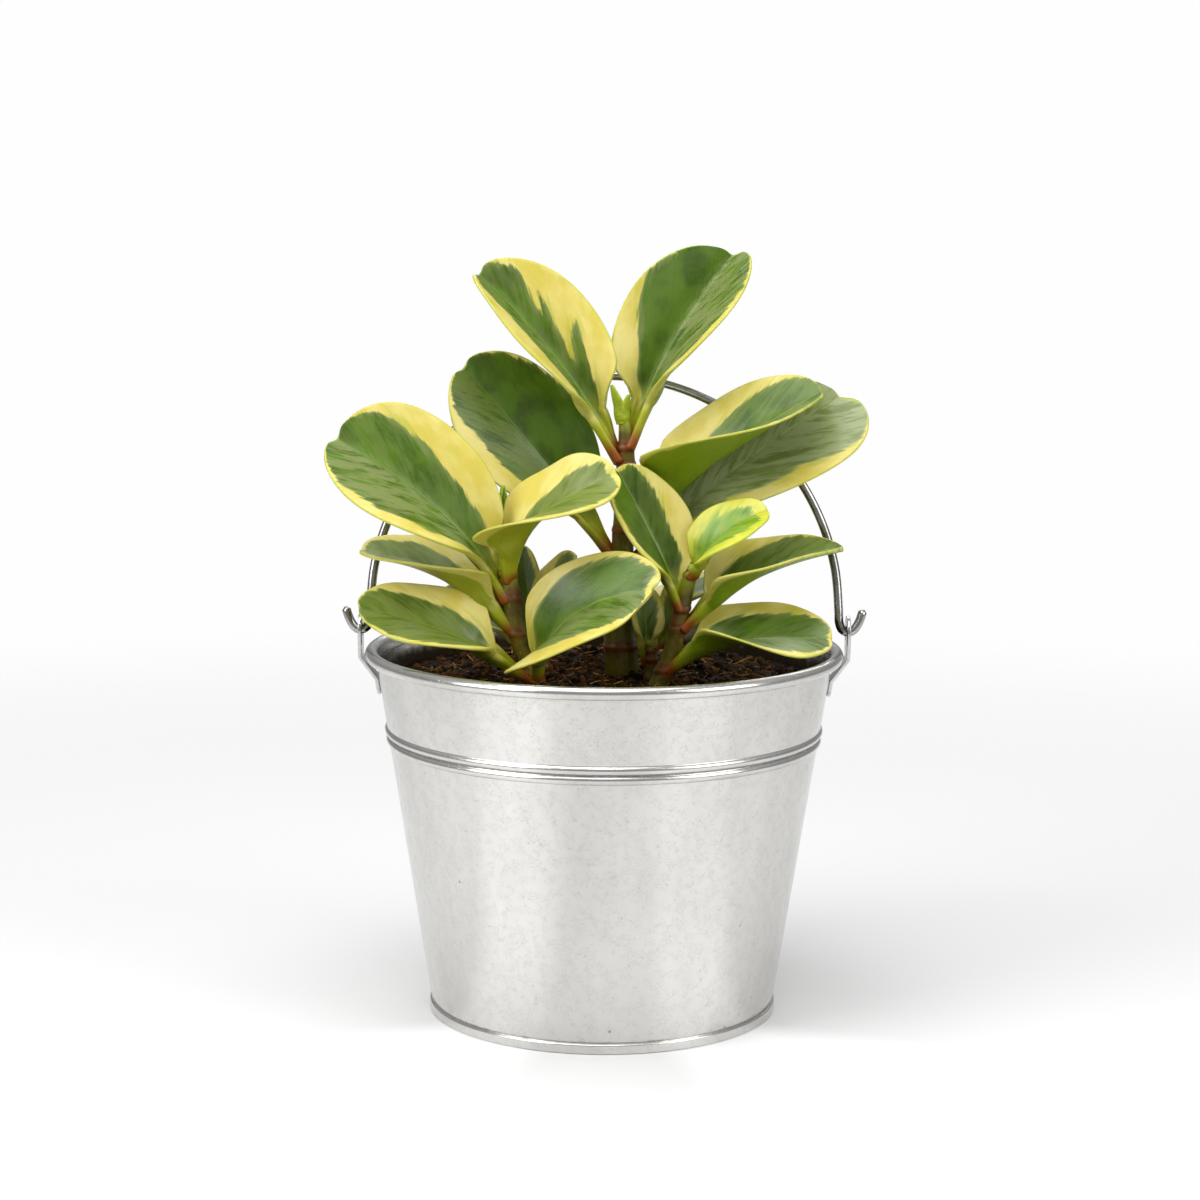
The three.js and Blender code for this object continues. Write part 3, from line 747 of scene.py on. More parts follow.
@dataclass(frozen=True)
class Leaf:
    """One leaf: its midrib, its blade and its cream margin.

    left and right say how much of each half is cream, at the blade's base, a third and two thirds of the
    way, and the tip. tip_cream is the cream's depth at the tip, and the grey pair says how grey each half
    is: partly real grey-green, partly a painted sheen on a half that catches the light.
    """

    path: tuple[Point, ...]
    stalk: float
    width: float
    fold: tuple[float, float]
    roll: tuple[float, float]
    left: tuple[float, ...]
    right: tuple[float, ...]
    rise: float = 0.5
    blunt: float = 0.5
    uneven: float = 0.0
    skew: float = 0.0
    slant: float = 0.0
    notch: float = 0.35
    tip_cream: float = 0.0
    grey_and_sheen: tuple[float, float] = (0.4, 0.6)
    flames: tuple[Flame, ...] = ()
    kind: LeafKind = LeafKind.MATURE


LEAVES = {
    "leaf_centre_1": Leaf(
        ((5, 5, 174), (-1, 3.4, 185), (-10.4, 6, 205.4), (-41, 11, 232.5)),
        17, 39, (58, 38), (54, 47), left=(0.55, 0.6, 0.58, 0.25), right=(0.45, 0.86, 0.66, 0.05),
        notch=1, grey_and_sheen=(0.75, 0.3),
        flames=(Flame((0.12, 0.05), (0.46, 0.66), 3.0), Flame((0.34, 0.05), (0.7, 0.56), 2.2))),
    "leaf_centre_2": Leaf(
        ((6.4, 5, 178), (10.5, 5.4, 187), (14.5, 12, 208), (40.5, 16.5, 239)),
        15, 41.5, (58, 36), (-44, -56), left=(0.75, 0.42, 0.02, 0.0), right=(0.35, 0.17, 0.1, 0.0),
        blunt=0.45, skew=2, slant=3, notch=1, grey_and_sheen=(0.05, 1.0)),
    "leaf_centre_3": Leaf(
        ((5, 7, 141), (-5, 7.4, 155), (-19, 8, 175.4), (-45.4, 4, 203.8)),
        20, 41, (35, 8), (68, 64), left=(0.3, 0.36, 0.34, 0.08), right=(0.0, 0.0, 0.03, 0.1),
        rise=0.66, notch=1, grey_and_sheen=(0.7, 0.1), kind=LeafKind.DEEP),
    "leaf_centre_4": Leaf(
        ((6, 6, 140.5), (15, 5, 150), (41, 0, 174.5), (74, 1, 195.6)),
        17, 36, (30, 6), (-58, -62), left=(0.1, 0.06, 0.02, 0.02), right=(0.2, 0.36, 0.3, 0.0),
        rise=1.1, blunt=0.34, uneven=0.18, slant=4,
        notch=1, grey_and_sheen=(0.8, 1.0), kind=LeafKind.SHEEN_LIT),
    "leaf_centre_5": Leaf(
        ((6, 6, 152), (15, 3.6, 160), (35, -4, 180), (67, -7, 197)),
        14, 41, (84, 24), (-6, -36), left=(0.95, 0.62, 0.3, 0.04), right=(0.1, 0.06, 0.03, 0.02),
        uneven=0.1, skew=-3, grey_and_sheen=(0.35, 0.9)),
    "leaf_left_1": Leaf(
        ((-30, -12, 132), (-36, -14, 147), (-51, -20, 166.6), (-83.1, -19, 183.4)),
        14, 45, (52, 20), (58, 60), left=(0.5, 0.26, 0.18, 0.04), right=(0.4, 0.55, 0.4, 0.16),
        rise=0.75, blunt=0.45, skew=-2, slant=-0.8, notch=1, grey_and_sheen=(0.95, 0.25),
        kind=LeafKind.MATURE),
    "leaf_left_2": Leaf(
        ((-30, -12, 138.4), (-29.5, -19, 156), (-19, -26, 163), (4, -20.5, 173)),
        9, 33, (68, 12), (8, -62), left=(0.95, 0.7, 0.5, 0.3), right=(0.4, 0.2, 0.14, 0.2),
        rise=0.4, skew=-5, tip_cream=2.5, grey_and_sheen=(0.6, 0.7), kind=LeafKind.PALE),
    "leaf_left_3": Leaf(
        ((-27, -12, 122), (-35, -12, 130), (-47.5, -13, 144), (-76, -9, 147.5)),
        12, 29, (80, 14), (5, 18), left=(0.4, 0.25, 0.2, 0.2), right=(0.85, 0.55, 0.36, 0.2),
        tip_cream=1.2, grey_and_sheen=(0.8, 0.6), kind=LeafKind.PALE),
    "leaf_left_4": Leaf(
        ((-22, -13, 107.6), (-29.5, -17, 113), (-44, -28.5, 127), (-75.5, -25, 131.5)),
        17, 32, (50, 10), (28, 34), left=(0.3, 0.14, 0.1, 0.08), right=(0.6, 0.5, 0.36, 0.14),
        slant=2, grey_and_sheen=(0.85, 0.6), kind=LeafKind.GREYED),
    "leaf_left_5": Leaf(
        ((-21.5, -12, 107), (-21.5, -21, 119), (-12, -34, 137), (15, -32, 138.5)),
        10, 39, (58, 12), (-42, -50), left=(0.5, 0.26, 0.14, 0.14), right=(0.7, 0.36, 0.26, 0.2),
        uneven=0.12, skew=-6, slant=-5, tip_cream=2.2, grey_and_sheen=(0.1, 0.75)),
    "leaf_right_1": Leaf(
        ((24, -14, 130), (22, -15.5, 139), (15, -14, 153), (3.2, -9.5, 173.6)),
        9, 27, (50, 22), (38, 50), left=(0.3, 0.16, 0.14, 0.12), right=(0.4, 0.55, 0.42, 0.2),
        tip_cream=1, grey_and_sheen=(0.2, 0.35), kind=LeafKind.DEEP),
    "leaf_right_2": Leaf(
        ((26.6, -14, 141), (29.5, -19.5, 149), (36, -22.5, 157.5), (50, -20, 162)),
        5, 20, (45, 12), (-40, -48), left=(0.6, 0.45, 0.4, 0.5), right=(0.6, 0.45, 0.4, 0.5),
        tip_cream=4.5, kind=LeafKind.YOUNG),
    "leaf_right_3": Leaf(
        ((23.4, -14, 124), (29.5, -14, 130), (43, -16, 145), (74, -12, 149.6)),
        12, 31, (48, 17), (-10, -14), left=(0.75, 0.42, 0.14, 0.04), right=(0.2, 0.08, 0.05, 0.05),
        rise=0.42, blunt=0.75, grey_and_sheen=(0.6, 0.75), kind=LeafKind.GREYED),
    "leaf_right_4": Leaf(
        ((18.8, -14, 111), (27, -16, 118.5), (38.6, -20, 124), (70.5, -20, 121.8)),
        11, 30.5, (66, 10), (-6, -36), left=(0.6, 0.36, 0.3, 0.16), right=(0.1, 0.08, 0.2, 0.2),
        tip_cream=1.4, grey_and_sheen=(0.3, 0.6)),
    "leaf_shoot_left_1": Leaf(
        ((-19.8, 2, 116), (-19.6, 0, 125.6), (-17.7, -2, 135), (-9.3, -2, 146)),
        9, 16, (40, 14), (-45, -50), left=(0.6, 0.6, 0.5, 0.3), right=(0.35, 0.2, 0.2, 0.2),
        tip_cream=1),
    "leaf_shoot_left_2": Leaf(
        ((-19.8, 2, 112.5), (-23, 8.8, 122), (-25, 10, 133), (-26.2, 10, 146.6)),
        8, 14, (35, 14), (60, 60), left=(0.3, 0.25, 0.2, 0.2), right=(0.4, 0.35, 0.3, 0.2),
        kind=LeafKind.GREYED),
    "leaf_shoot_left_3": Leaf(
        ((-18.8, 2, 108.5), (-23.6, 13, 113.5), (-37, 28, 126), (-53.5, 34, 128)),
        14, 24, (40, 12), (15, 15), left=(0.3, 0.2, 0.16, 0.12), right=(0.4, 0.3, 0.2, 0.12),
        kind=LeafKind.GREYED),
    "leaf_shoot_right_1": Leaf(
        ((14.4, 0, 110.5), (12.5, -2, 118), (13.5, 1, 126), (12.5, 8, 134)),
        7, 12, (60, 20), (0, 0), left=(0.5, 0.4, 0.35, 0.3), right=(0.5, 0.4, 0.35, 0.3),
        tip_cream=1.2),
    "leaf_shoot_right_2": Leaf(
        ((14.4, 0.5, 115.5), (20, 4, 118.4), (23.4, 7, 128), (22.4, 9, 137)),
        7, 11, (45, 16), (-20, -20), left=(0.5, 0.45, 0.4, 0.3), right=(0.5, 0.4, 0.35, 0.3),
        tip_cream=1.2, kind=LeafKind.PALE),
    "leaf_back_1": Leaf(
        ((-30, -12, 139.5), (-30.6, -2, 144), (-41, 20, 150.5), (-55, 36, 143)),
        20, 26, (40, 12), (12, 12), left=(0.3, 0.2, 0.16, 0.1), right=(0.3, 0.24, 0.2, 0.1),
        kind=LeafKind.DEEP),
    "leaf_back_2": Leaf(
        ((5.6, 7, 149), (12, 16, 158), (27, 32, 166), (44, 36, 166)),
        14, 27, (40, 12), (-10, -10), left=(0.4, 0.3, 0.24, 0.14), right=(0.5, 0.36, 0.24, 0.14),
        tip_cream=1),
    "leaf_back_3": Leaf(
        ((5.5, 7, 113), (3.5, 20, 117), (-1.5, 36, 122), (-9.7, 54, 123.5)),
        16, 25, (40, 12), (0, 0), left=(0.4, 0.3, 0.2, 0.14), right=(0.4, 0.3, 0.2, 0.14),
        tip_cream=1, kind=LeafKind.DEEP),
    "leaf_back_4": Leaf(
        ((5.5, 7, 118), (14.7, 20, 122), (29, 32, 129), (46, 38, 134)),
        18, 24, (40, 10), (0, 0), left=(0.5, 0.4, 0.3, 0.2), right=(0.4, 0.3, 0.2, 0.14),
        tip_cream=1, kind=LeafKind.GREYED),
}


@dataclass(frozen=True)
class BladeRule:
    """How every leaf's blade is shaped from its few numbers."""

    slant_soft: float = 4
    stalk_half_width: float = 1.9
    stalk_width_share: float = 0.14
    stalk_fold: float = 35
    stalk_thick: float = 2.8
    stalk_edge: float = 1.6
    wing: float = 0.7
    wing_from: float = 0.45
    clasp: float = 0.25
    blade_thick: float = 1.5
    blade_edge: float = 0.8
    thin_by: float = 0.35
    base_taper: float = 0.4
    taper_by: float = 0.16
    full_size_width: float = 18
    smallest_middle: float = 0.55
    smallest_edge: float = 0.75
    notch: float = 1.6
    notch_half_width: float = 2.6
    notch_reach: float = 5
    stalk_rings: int = 14
    blade_rings: int = 58
    half_columns: int = 16
    rim_columns: int = 3
    crease: float = 0.14
    stalk_crease: float = 0.9
    crown: float = 0.16
    wave: float = 0.45
    waves: float = 1.6
    halves_apart: float = 0.12
    leaves_apart: float = 2.1
    no_cream_under: float = 0.01
    seed_step: float = 3.7
    half_seed: float = 1.6
    rib_groove: float = 0.22
    rib_ridge: float = 0.5
    rib_half_width: float = 0.8
    vein_lean: float = 1.7
    vein_curve: float = 0.02

    def skin(self, leaf: Leaf, number: int) -> Skin:
        """Loft one leaf from the foot of its stalk to its tip.

        Args:
            leaf: The leaf.
            number: Its number, which sets its markings apart from the others.

        Returns:
            The closed skin with the values that its material reads.
        """
        curve = BezierCurve(leaf.path)
        blade = curve.length - leaf.stalk
        stalk = leaf.stalk * np.arange(1, self.stalk_rings) / self.stalk_rings
        steps = np.sin(np.pi / 2 * np.arange(self.blade_rings) / self.blade_rings)
        along = np.concatenate([[0.02], stalk, leaf.stalk + blade * steps])
        u = np.clip((along - leaf.stalk) / blade, 0, 1)
        part = np.minimum(1, along / leaf.stalk)
        half = self._half_width(leaf, u, part)
        middle, edge = self._thickness(leaf, u)
        fold = np.radians(np.where(
            along < leaf.stalk, mix(self.stalk_fold, leaf.fold[0], part),
            mix(leaf.fold[0], leaf.fold[1], 1 - (1 - u) ** 3)))
        roll = np.radians(np.where(
            along < leaf.stalk, leaf.roll[0] * part, mix(leaf.roll[0], leaf.roll[1], u)))

        share = self._columns(half, edge)
        side_out, side_up, slope = self._cross_section(share, half, fold, u)
        centre, tangent = curve.walk(along)
        right, up = self._axes(leaf, tangent, roll)
        uneven = 1 + leaf.uneven * np.sign(share)
        out = half[:, None] * share * uneven
        scale = min(1.0, leaf.width / self.full_size_width)
        to_tip = (1 - u) * blade
        notch = leaf.notch * self.notch * scale * np.exp(-(out / self.notch_half_width) ** 2)
        notch = notch * np.exp(-(to_tip / self.notch_reach) ** 2)[:, None]
        lobe = 1 - np.exp(-np.abs(out) / self.slant_soft)
        lean = mix(leaf.skew, leaf.slant, u) * ease(u, 0, self.taper_by)
        ahead = lean[:, None] * share * lobe - notch
        ahead = ahead * (along >= leaf.stalk)[:, None]
        phase = self.waves * u[:, None] + self.halves_apart * np.sign(share)
        ripple = np.sin(2 * math.pi * phase + self.leaves_apart * number)
        fade = (ease(u, 0, 0.3) * (1 - ease(u, 0.75, 1)))[:, None]
        side_up = side_up + self.wave * scale * ripple * np.abs(share) ** 3 * fade

        side_out = side_out * uneven
        side_up = side_up * uneven
        surface = centre[:, None] + side_out[..., None] * right[:, None]
        surface = surface + side_up[..., None] * up[:, None] + ahead[..., None] * tangent[:, None]
        normal = np.cos(slope)[..., None] * up[:, None] - np.sin(slope)[..., None] * right[:, None]
        thick = mix(middle[:, None], edge[:, None], share ** 2)
        rim_radius = edge[:, None] / 2
        to_rim = half[:, None] * (1 - np.abs(share))
        closeness = np.clip(1 - np.minimum(to_rim, to_tip[:, None]) / rim_radius, 0, 1)
        rounding = np.sqrt(np.clip(1 - closeness ** 2, 0, 1))
        core = surface - normal * (thick / 2)[..., None]
        rib = np.exp(-(out / self.rib_half_width) ** 2) * (1 - 0.8 * u)[:, None]
        rib = rib * ease(u, 0, 0.12)[:, None] * rounding
        top = core + normal * (thick / 2 * rounding - self.rib_groove * rib)[..., None]
        bottom = core - normal * (thick / 2 * rounding + self.rib_ridge * scale * rib)[..., None]

        values = self._values(leaf, number, along, u, share, half, blade)
        rings = np.concatenate([top, bottom[:, -2:0:-1]], axis=1)
        both = {key: np.concatenate([held, held[:, -2:0:-1]], axis=1) for key, held in values.items()}
        count = share.shape[1]
        below = np.zeros(rings.shape[:2])
        below[:, count:] = 1
        both["under"] = below
        end = curve.walk(np.array([curve.length]))[0][0]
        nose = end - tangent[-1] * leaf.notch * self.notch * scale - normal[-1, count // 2] * edge[-1] / 2
        return Skin(rings, rings[0].mean(0), nose, both)

    def _half_width(self, leaf: Leaf, u: np.ndarray, part: np.ndarray) -> np.ndarray:
        """Half the leaf's width at shares of the blade and of the stalk, which has wings."""
        narrow = min(self.stalk_half_width, leaf.width * self.stalk_width_share)
        wing = 1 + self.wing * ease(part, self.wing_from, 1) + self.clasp * (1 - ease(part, 0, 0.3))
        rise = leaf.rise
        widest = rise / (rise + leaf.blunt)
        outline = (u / widest) ** rise * ((1 - u) / (1 - widest)) ** leaf.blunt
        outline = outline * mix(self.base_taper, 1, ease(u, 0, self.taper_by))
        return narrow * wing * (1 - u) ** 2 + (leaf.width / 2 - narrow / 2) * outline

    def _thickness(self, leaf: Leaf, u: np.ndarray) -> tuple[np.ndarray, np.ndarray]:
        """The leaf's thickness at its middle and at its edge."""
        thin = np.minimum(1, u / self.thin_by)
        scale = min(1.0, leaf.width / self.full_size_width)
        middle = mix(self.stalk_thick, self.blade_thick, thin) * mix(self.smallest_middle, 1, scale)
        edge = mix(self.stalk_edge, self.blade_edge, thin) * mix(self.smallest_edge, 1, scale)
        return middle, edge

    def _columns(self, half: np.ndarray, edge: np.ndarray) -> np.ndarray:
        """Where each row's points stand across the leaf, from -1 to 1, close at the rims."""
        turn = np.pi / 2 * np.arange(1, self.rim_columns + 1) / self.rim_columns
        radius = np.minimum(0.45, edge / 2 / np.maximum(half, 1e-6))[:, None]
        inner = (np.arange(self.half_columns + 1) / self.half_columns)[None] ** 0.9 * (1 - radius)
        rim = 1 - radius * (1 - np.sin(turn))[None]
        positive = np.concatenate([inner, rim], axis=1)
        return np.concatenate([-positive[:, :0:-1], positive], axis=1)

    def _cross_section(self, share: np.ndarray, half: np.ndarray, fold: np.ndarray,
                       u: np.ndarray) -> tuple[np.ndarray, np.ndarray, np.ndarray]:
        """How far out and up each point stands in its row, and the slope of the face there."""
        crease = mix(self.stalk_crease, self.crease, np.minimum(1, u / 0.15))[:, None]
        away = np.abs(share)
        bend = ease(away / crease, 0, 1) * (1 + self.crown - self.crown * away)
        bend = bend / (1 - crease / 2)
        slope = fold[:, None] * bend * np.sign(share)
        middle = share.shape[1] // 2
        side_out = np.zeros_like(share)
        side_up = np.zeros_like(share)
        for step in (1, -1):
            last = middle
            for _ in range(middle):
                here = last + step
                width = half * (share[:, here] - share[:, last])
                lean = (slope[:, here] + slope[:, last]) / 2
                side_out[:, here] = side_out[:, last] + width * np.cos(lean)
                side_up[:, here] = side_up[:, last] + width * np.sin(lean)
                last = here
        return side_out, side_up, slope

    def _axes(self, leaf: Leaf, tangent: np.ndarray, roll: np.ndarray) -> tuple[np.ndarray, np.ndarray]:
        """The directions to the leaf's right and out of its upper face, row by row."""
        chord = np.subtract(leaf.path[3], leaf.path[0])
        right = np.cross(chord, WORLD_UP)[None] * np.ones((len(tangent), 1))
        right = unit(right - (right * tangent).sum(1, keepdims=True) * tangent)
        turned = np.cross(tangent, right)
        right = right * np.cos(roll)[:, None] - turned * np.sin(roll)[:, None]
        return right, np.cross(right, tangent)

    def _values(self, leaf: Leaf, number: int, along: np.ndarray, u: np.ndarray,
                share: np.ndarray, half: np.ndarray, blade: float) -> dict[str, np.ndarray]:
        """What the leaf's material reads at each point of one face.

        Args:
            leaf: The leaf.
            number: Its number.
            along: Each row's length from the foot of the stalk.
            u: Each row's share of the blade.
            share: Each point's share of the half width.
            half: Each row's half width.
            blade: The blade's length.

        Returns:
            The values by name, in millimetres or as shares.
        """
        places = (0, 1 / 3, 2 / 3, 1)
        wide = np.where(share < 0, np.interp(u, places, leaf.left)[:, None],
                        np.interp(u, places, leaf.right)[:, None])
        away = np.abs(share)
        out = half[:, None] * away
        depth = (away - (1 - wide)) * half[:, None]
        depth = np.where(wide < self.no_cream_under, -FAR, depth)
        to_tip = ((1 - u) * blade)[:, None] * np.ones_like(share)
        if leaf.tip_cream > 0:
            depth = np.maximum(depth, leaf.tip_cream - to_tip)
        where = np.stack([u[:, None] * blade * np.ones_like(share), half[:, None] * share], axis=2)
        for flame in leaf.flames:
            ends = []
            for along_share, across in (flame.start, flame.end):
                wide_there = np.interp(along_share, u, half)
                ends.append(np.array([along_share * blade, across * wide_there]))
            run = ends[1] - ends[0]
            passed = np.clip(((where - ends[0]) @ run) / float(run @ run), 0, 1)
            nearest = ends[0] + passed[..., None] * run
            gap = np.linalg.norm(where - nearest, axis=2)
            depth = np.minimum(depth, gap - flame.width * (1 - passed) ** 0.6)
        mm_along = (u * blade)[:, None]
        lean = math.hypot(1, self.vein_lean)
        across_vein = (mm_along - self.vein_lean * out - self.vein_curve * out ** 2) / lean
        along_vein = (out + self.vein_lean * mm_along) / lean
        seed = number * self.seed_step + np.where(share < 0, 0.0, self.half_seed)
        rim = np.minimum(out.max(1, keepdims=True) - out, to_tip)
        on_stalk = np.clip(1 - along / leaf.stalk, 0, 1)[:, None] * np.ones_like(share)
        return {
            "cream_depth": depth,
            "vein": np.stack([across_vein, along_vein, seed], axis=2),
            "across": np.where(u[:, None] > 0, out, FAR),
            "along": u[:, None] * np.ones_like(share),
            "rim": np.where(u[:, None] > 0.02, rim, FAR),
            "stalk": on_stalk,
            # How grey each half is: partly real grey-green, partly painted sheen.
            "grey_and_sheen_share": np.where(share < 0, leaf.grey_and_sheen[0], leaf.grey_and_sheen[1]),
        }


@dataclass
class Foliage:
    """Every leaf of the plant, each a stalk and a blade in one piece."""

    leaves: dict[str, Leaf]
    rule: BladeRule
    body: str = "pot"
    slot: str = "leaf"

    def build(self, effects: Effects) -> None:
        """Make and dress the leaves."""
        finishes = {kind: finish.material(effects) for kind, finish in LEAF_FINISHES.items()}
        for number, (name, leaf) in enumerate(self.leaves.items()):
            piece = skins_piece(name + "_blade", [self.rule.skin(leaf, number)])
            dress(piece, name, self.body, self.slot, finishes[leaf.kind])


@dataclass(frozen=True)
class StemFinish:
    """Jointed, fleshy stem: olive, rust at its joints and bright green where it is young."""

    name: str = "jointed_stem"
    base: Colour = shown(98, 88, 6)
    dark: Colour = shown(60, 50, 2)
    light: Colour = shown(134, 124, 22)
    rust: Colour = shown(118, 58, 8)
    scar: Colour = shown(40, 24, 8)
    young: Colour = shown(146, 166, 24)

    def material(self, effects: Effects) -> bpy.types.Material:
        """Build the material.

        Args:
            effects: The shared shader groups.

        Returns:
            The finished material.
        """
        material, b, shader = new_material(self.name)
        mottle = place_group(b, effects.bark_mottle, Place=b.place(), Base=self.base,
                             Dark=self.dark, Light=self.light)
        uneven = b.noise(b.place(), 260, 2, 0.6)
        joint = b.swing(uneven, 2.2, b.attribute("joint"))
        rusty = b.times(b.ease(joint, 0.42, 1.0), 0.85)
        broken = b.ease(b.noise(b.place(), 420, 2, 0.6), 0.4, 0.56)
        colour = b.blend(mottle.outputs["Colour"], self.young, b.attribute("young"))
        colour = b.blend(colour, self.rust, rusty)
        scar = b.times(b.attribute("scar"), b.math("MULTIPLY_ADD", broken, 0.75, 0.15))
        colour = b.blend(colour, self.scar, scar)
        b.fill(shader, Base_Color=colour, Roughness=0.42, Subsurface_Weight=0.08,
               Subsurface_Radius=(0.9, 0.9, 0.3), Subsurface_Scale=1.0 * MM)
        add_bump(b, shader, mottle.outputs["Height"], 0.25, 0.5)
        return material


@dataclass(frozen=True)
class Stem:
    """One stem: its centre line, the radius at each point and the heights of its joints.

    young is the height from which it is bright green.
    """

    line: tuple[Point, ...]
    radius: tuple[float, ...]
    joints: tuple[float, ...]
    young: float


STEMS = {
    "stem_centre": Stem(
        ((7, 7, 80), (6, 7, 104), (5, 7, 117), (5, 7, 130), (5.4, 7, 142), (6, 6, 158),
         (6.4, 5.4, 172), (6.2, 5, 183), (5.2, 5, 190)),
        (4.6, 5.6, 5, 4.1, 3.6, 3.2, 2.9, 2.1, 1.2), (115, 128, 140.5, 152, 173, 178), 182),
    "stem_left": Stem(
        ((-20, -12, 82), (-21, -12, 103), (-22.5, -12, 110), (-25, -12, 117), (-27.6, -12, 125),
         (-29.2, -12, 135), (-30.4, -12, 142), (-31.2, -12, 146)),
        (3.2, 3.6, 3.6, 3.5, 3.3, 3.1, 2.8, 1.4), (109.5, 122, 133, 140.5), 134),
    "stem_right": Stem(
        ((14, -14, 84), (16, -14, 104), (18, -14, 109), (21, -14, 117), (23, -14, 126),
         (24.8, -14, 134), (26.4, -14, 141), (27, -14, 144)),
        (3, 3.3, 3.1, 2.8, 2.6, 2.4, 2.2, 1.4), (111, 124, 130, 141), 134),
    "shoot_left": Stem(
        ((-18, 3, 88), (-18.4, 2, 103), (-19.4, 2, 111), (-19.8, 2, 117), (-19.8, 2, 121)),
        (2.2, 2.4, 2.2, 2, 1.1), (109, 116.5), 118),
    "shoot_right": Stem(
        ((14, 1, 90), (14.4, 0, 104), (14.8, 0, 109), (14.5, 0, 114), (14.2, 0, 117.5)),
        (2.2, 2.3, 2.1, 1.9, 1.1), (112, 115), 115),
}


@dataclass(frozen=True)
class Bud:
    """An unopened leaf at a growing tip: its midrib, its width and its roll."""

    path: tuple[Point, ...]
    width: float
    roll: float


BUDS = {
    "stem_centre": (
        Bud(((5.2, 5, 186), (3.8, 4, 190), (2.6, 3, 194), (2.4, 2, 198)), 5.6, 40),
        Bud(((5.2, 5, 186), (6.2, 4, 189), (6.8, 3, 192), (6.6, 2.6, 195)), 4.6, -40),
    ),
    "stem_left": (
        Bud(((-31.4, -11, 143.5), (-34, -9, 150), (-37, -8.4, 157), (-37.4, -9, 163.6)), 5.5, 40),
        Bud(((-31.2, -11, 143.5), (-31.5, -8, 151), (-32.5, -7.8, 159), (-31.2, -8.6, 167.5)), 6, -30),
    ),
}


@dataclass
class Stems:
    """The jointed stems and shoots, with the unopened leaves at their tips."""

    stems: dict[str, Stem]
    buds: dict[str, tuple[Bud, ...]]
    rule: BladeRule
    body: str = "pot"
    slot: str = "stem"
    sides: int = 28
    rings_per_mm: float = 1.6
    joint_swell: float = 0.45
    joint_half_height: float = 1.6
    scar_depth: float = 0.22
    scar_half_height: float = 0.35
    scar_from_joint: float = 1.1
    rust_reach: float = 2.0
    lump_size: float = 1.1
    lump_rise: float = 0.05
    bud_stalk: float = 2
    bud_fold: tuple[float, float] = (70, 42)

    def build(self, effects: Effects) -> None:
        """Make and dress the stems."""
        bark = StemFinish().material(effects)
        leaf = LEAF_FINISHES[LeafKind.YOUNG].material(effects)
        for number, (name, stem) in enumerate(self.stems.items()):
            skins = [self._stem_skin(stem, number)]
            skins += [self._bud_skin(bud, number) for bud in self.buds.get(name, ())]
            piece = skins_piece(name + "_grown", skins)
            piece.data.materials.append(bark)
            piece.data.materials.append(leaf)
            first_bud_face = len(skins[0].faces(0))
            for face in list(piece.data.polygons)[first_bud_face:]:
                face.material_index = 1
            dress(piece, name, self.body, self.slot)

    def _stem_skin(self, stem: Stem, number: int) -> Skin:
        """Loft one stem, with a ring and a scar at each joint."""
        curve = CentripetalCurve(np.array(stem.line, float))
        height = stem.line[-1][2] - stem.line[0][2]
        places = np.linspace(0, curve.spans, int(height * self.rings_per_mm))
        centres = np.array([curve.at(place) for place in places])
        radius = np.interp(places, range(len(stem.radius)), stem.radius)
        joint = np.zeros(len(places))
        scarred = np.zeros(len(places))
        for at in stem.joints:
            away = (centres[:, 2] - at) / self.joint_half_height
            radius = radius + self.joint_swell * np.exp(-away ** 2)
            for side in (-self.scar_from_joint, self.scar_from_joint):
                scar = (centres[:, 2] - at - side) / self.scar_half_height
                radius = radius - self.scar_depth * np.exp(-scar ** 2)
                scarred = np.maximum(scarred, np.exp(-scar ** 2))
            joint = np.maximum(joint, np.exp(-(away / self.rust_reach) ** 2))
        angle = turns_round(self.sides)
        rings = np.zeros((len(places), self.sides, 3))
        for i, centre in enumerate(centres):
            for j, turn in enumerate(angle):
                lump = noise.noise(Vector((math.cos(turn) * self.lump_size,
                                           math.sin(turn) * self.lump_size,
                                           centre[2] * 0.16 + 9 * number)))
                here = radius[i] * (1 + self.lump_rise * lump)
                rings[i, j] = centre + (here * math.cos(turn), here * math.sin(turn), 0)
        young = ease(centres[:, 2], stem.young, stem.line[-1][2] - 2)
        shape = np.ones((len(places), self.sides))
        blank = {key: np.zeros_like(shape) for key in
                 ("cream_depth", "across", "along", "rim", "stalk", "under", "grey_and_sheen_share")}
        return Skin(rings, centres[0], centres[-1] + (0, 0, 0.4), {
            "joint": joint[:, None] * shape, "young": young[:, None] * shape,
            "scar": scarred[:, None] * shape, "vein": np.zeros_like(rings), **blank})

    def _bud_skin(self, bud: Bud, number: int) -> Skin:
        """Loft one unopened leaf."""
        leaf = Leaf(bud.path, self.bud_stalk, bud.width, self.bud_fold, (bud.roll, bud.roll),
                    left=(0.1, 0.1, 0.1, 0.1), right=(0.1, 0.1, 0.1, 0.1), rise=0.7, blunt=0.85)
        skin = self.rule.skin(leaf, 40 + number)
        for key in ("joint", "young", "scar"):
            skin.values[key] = np.zeros(skin.rings.shape[:2])
        skin.values["stalk"] = skin.values["stalk"] * 0.5
        return skin


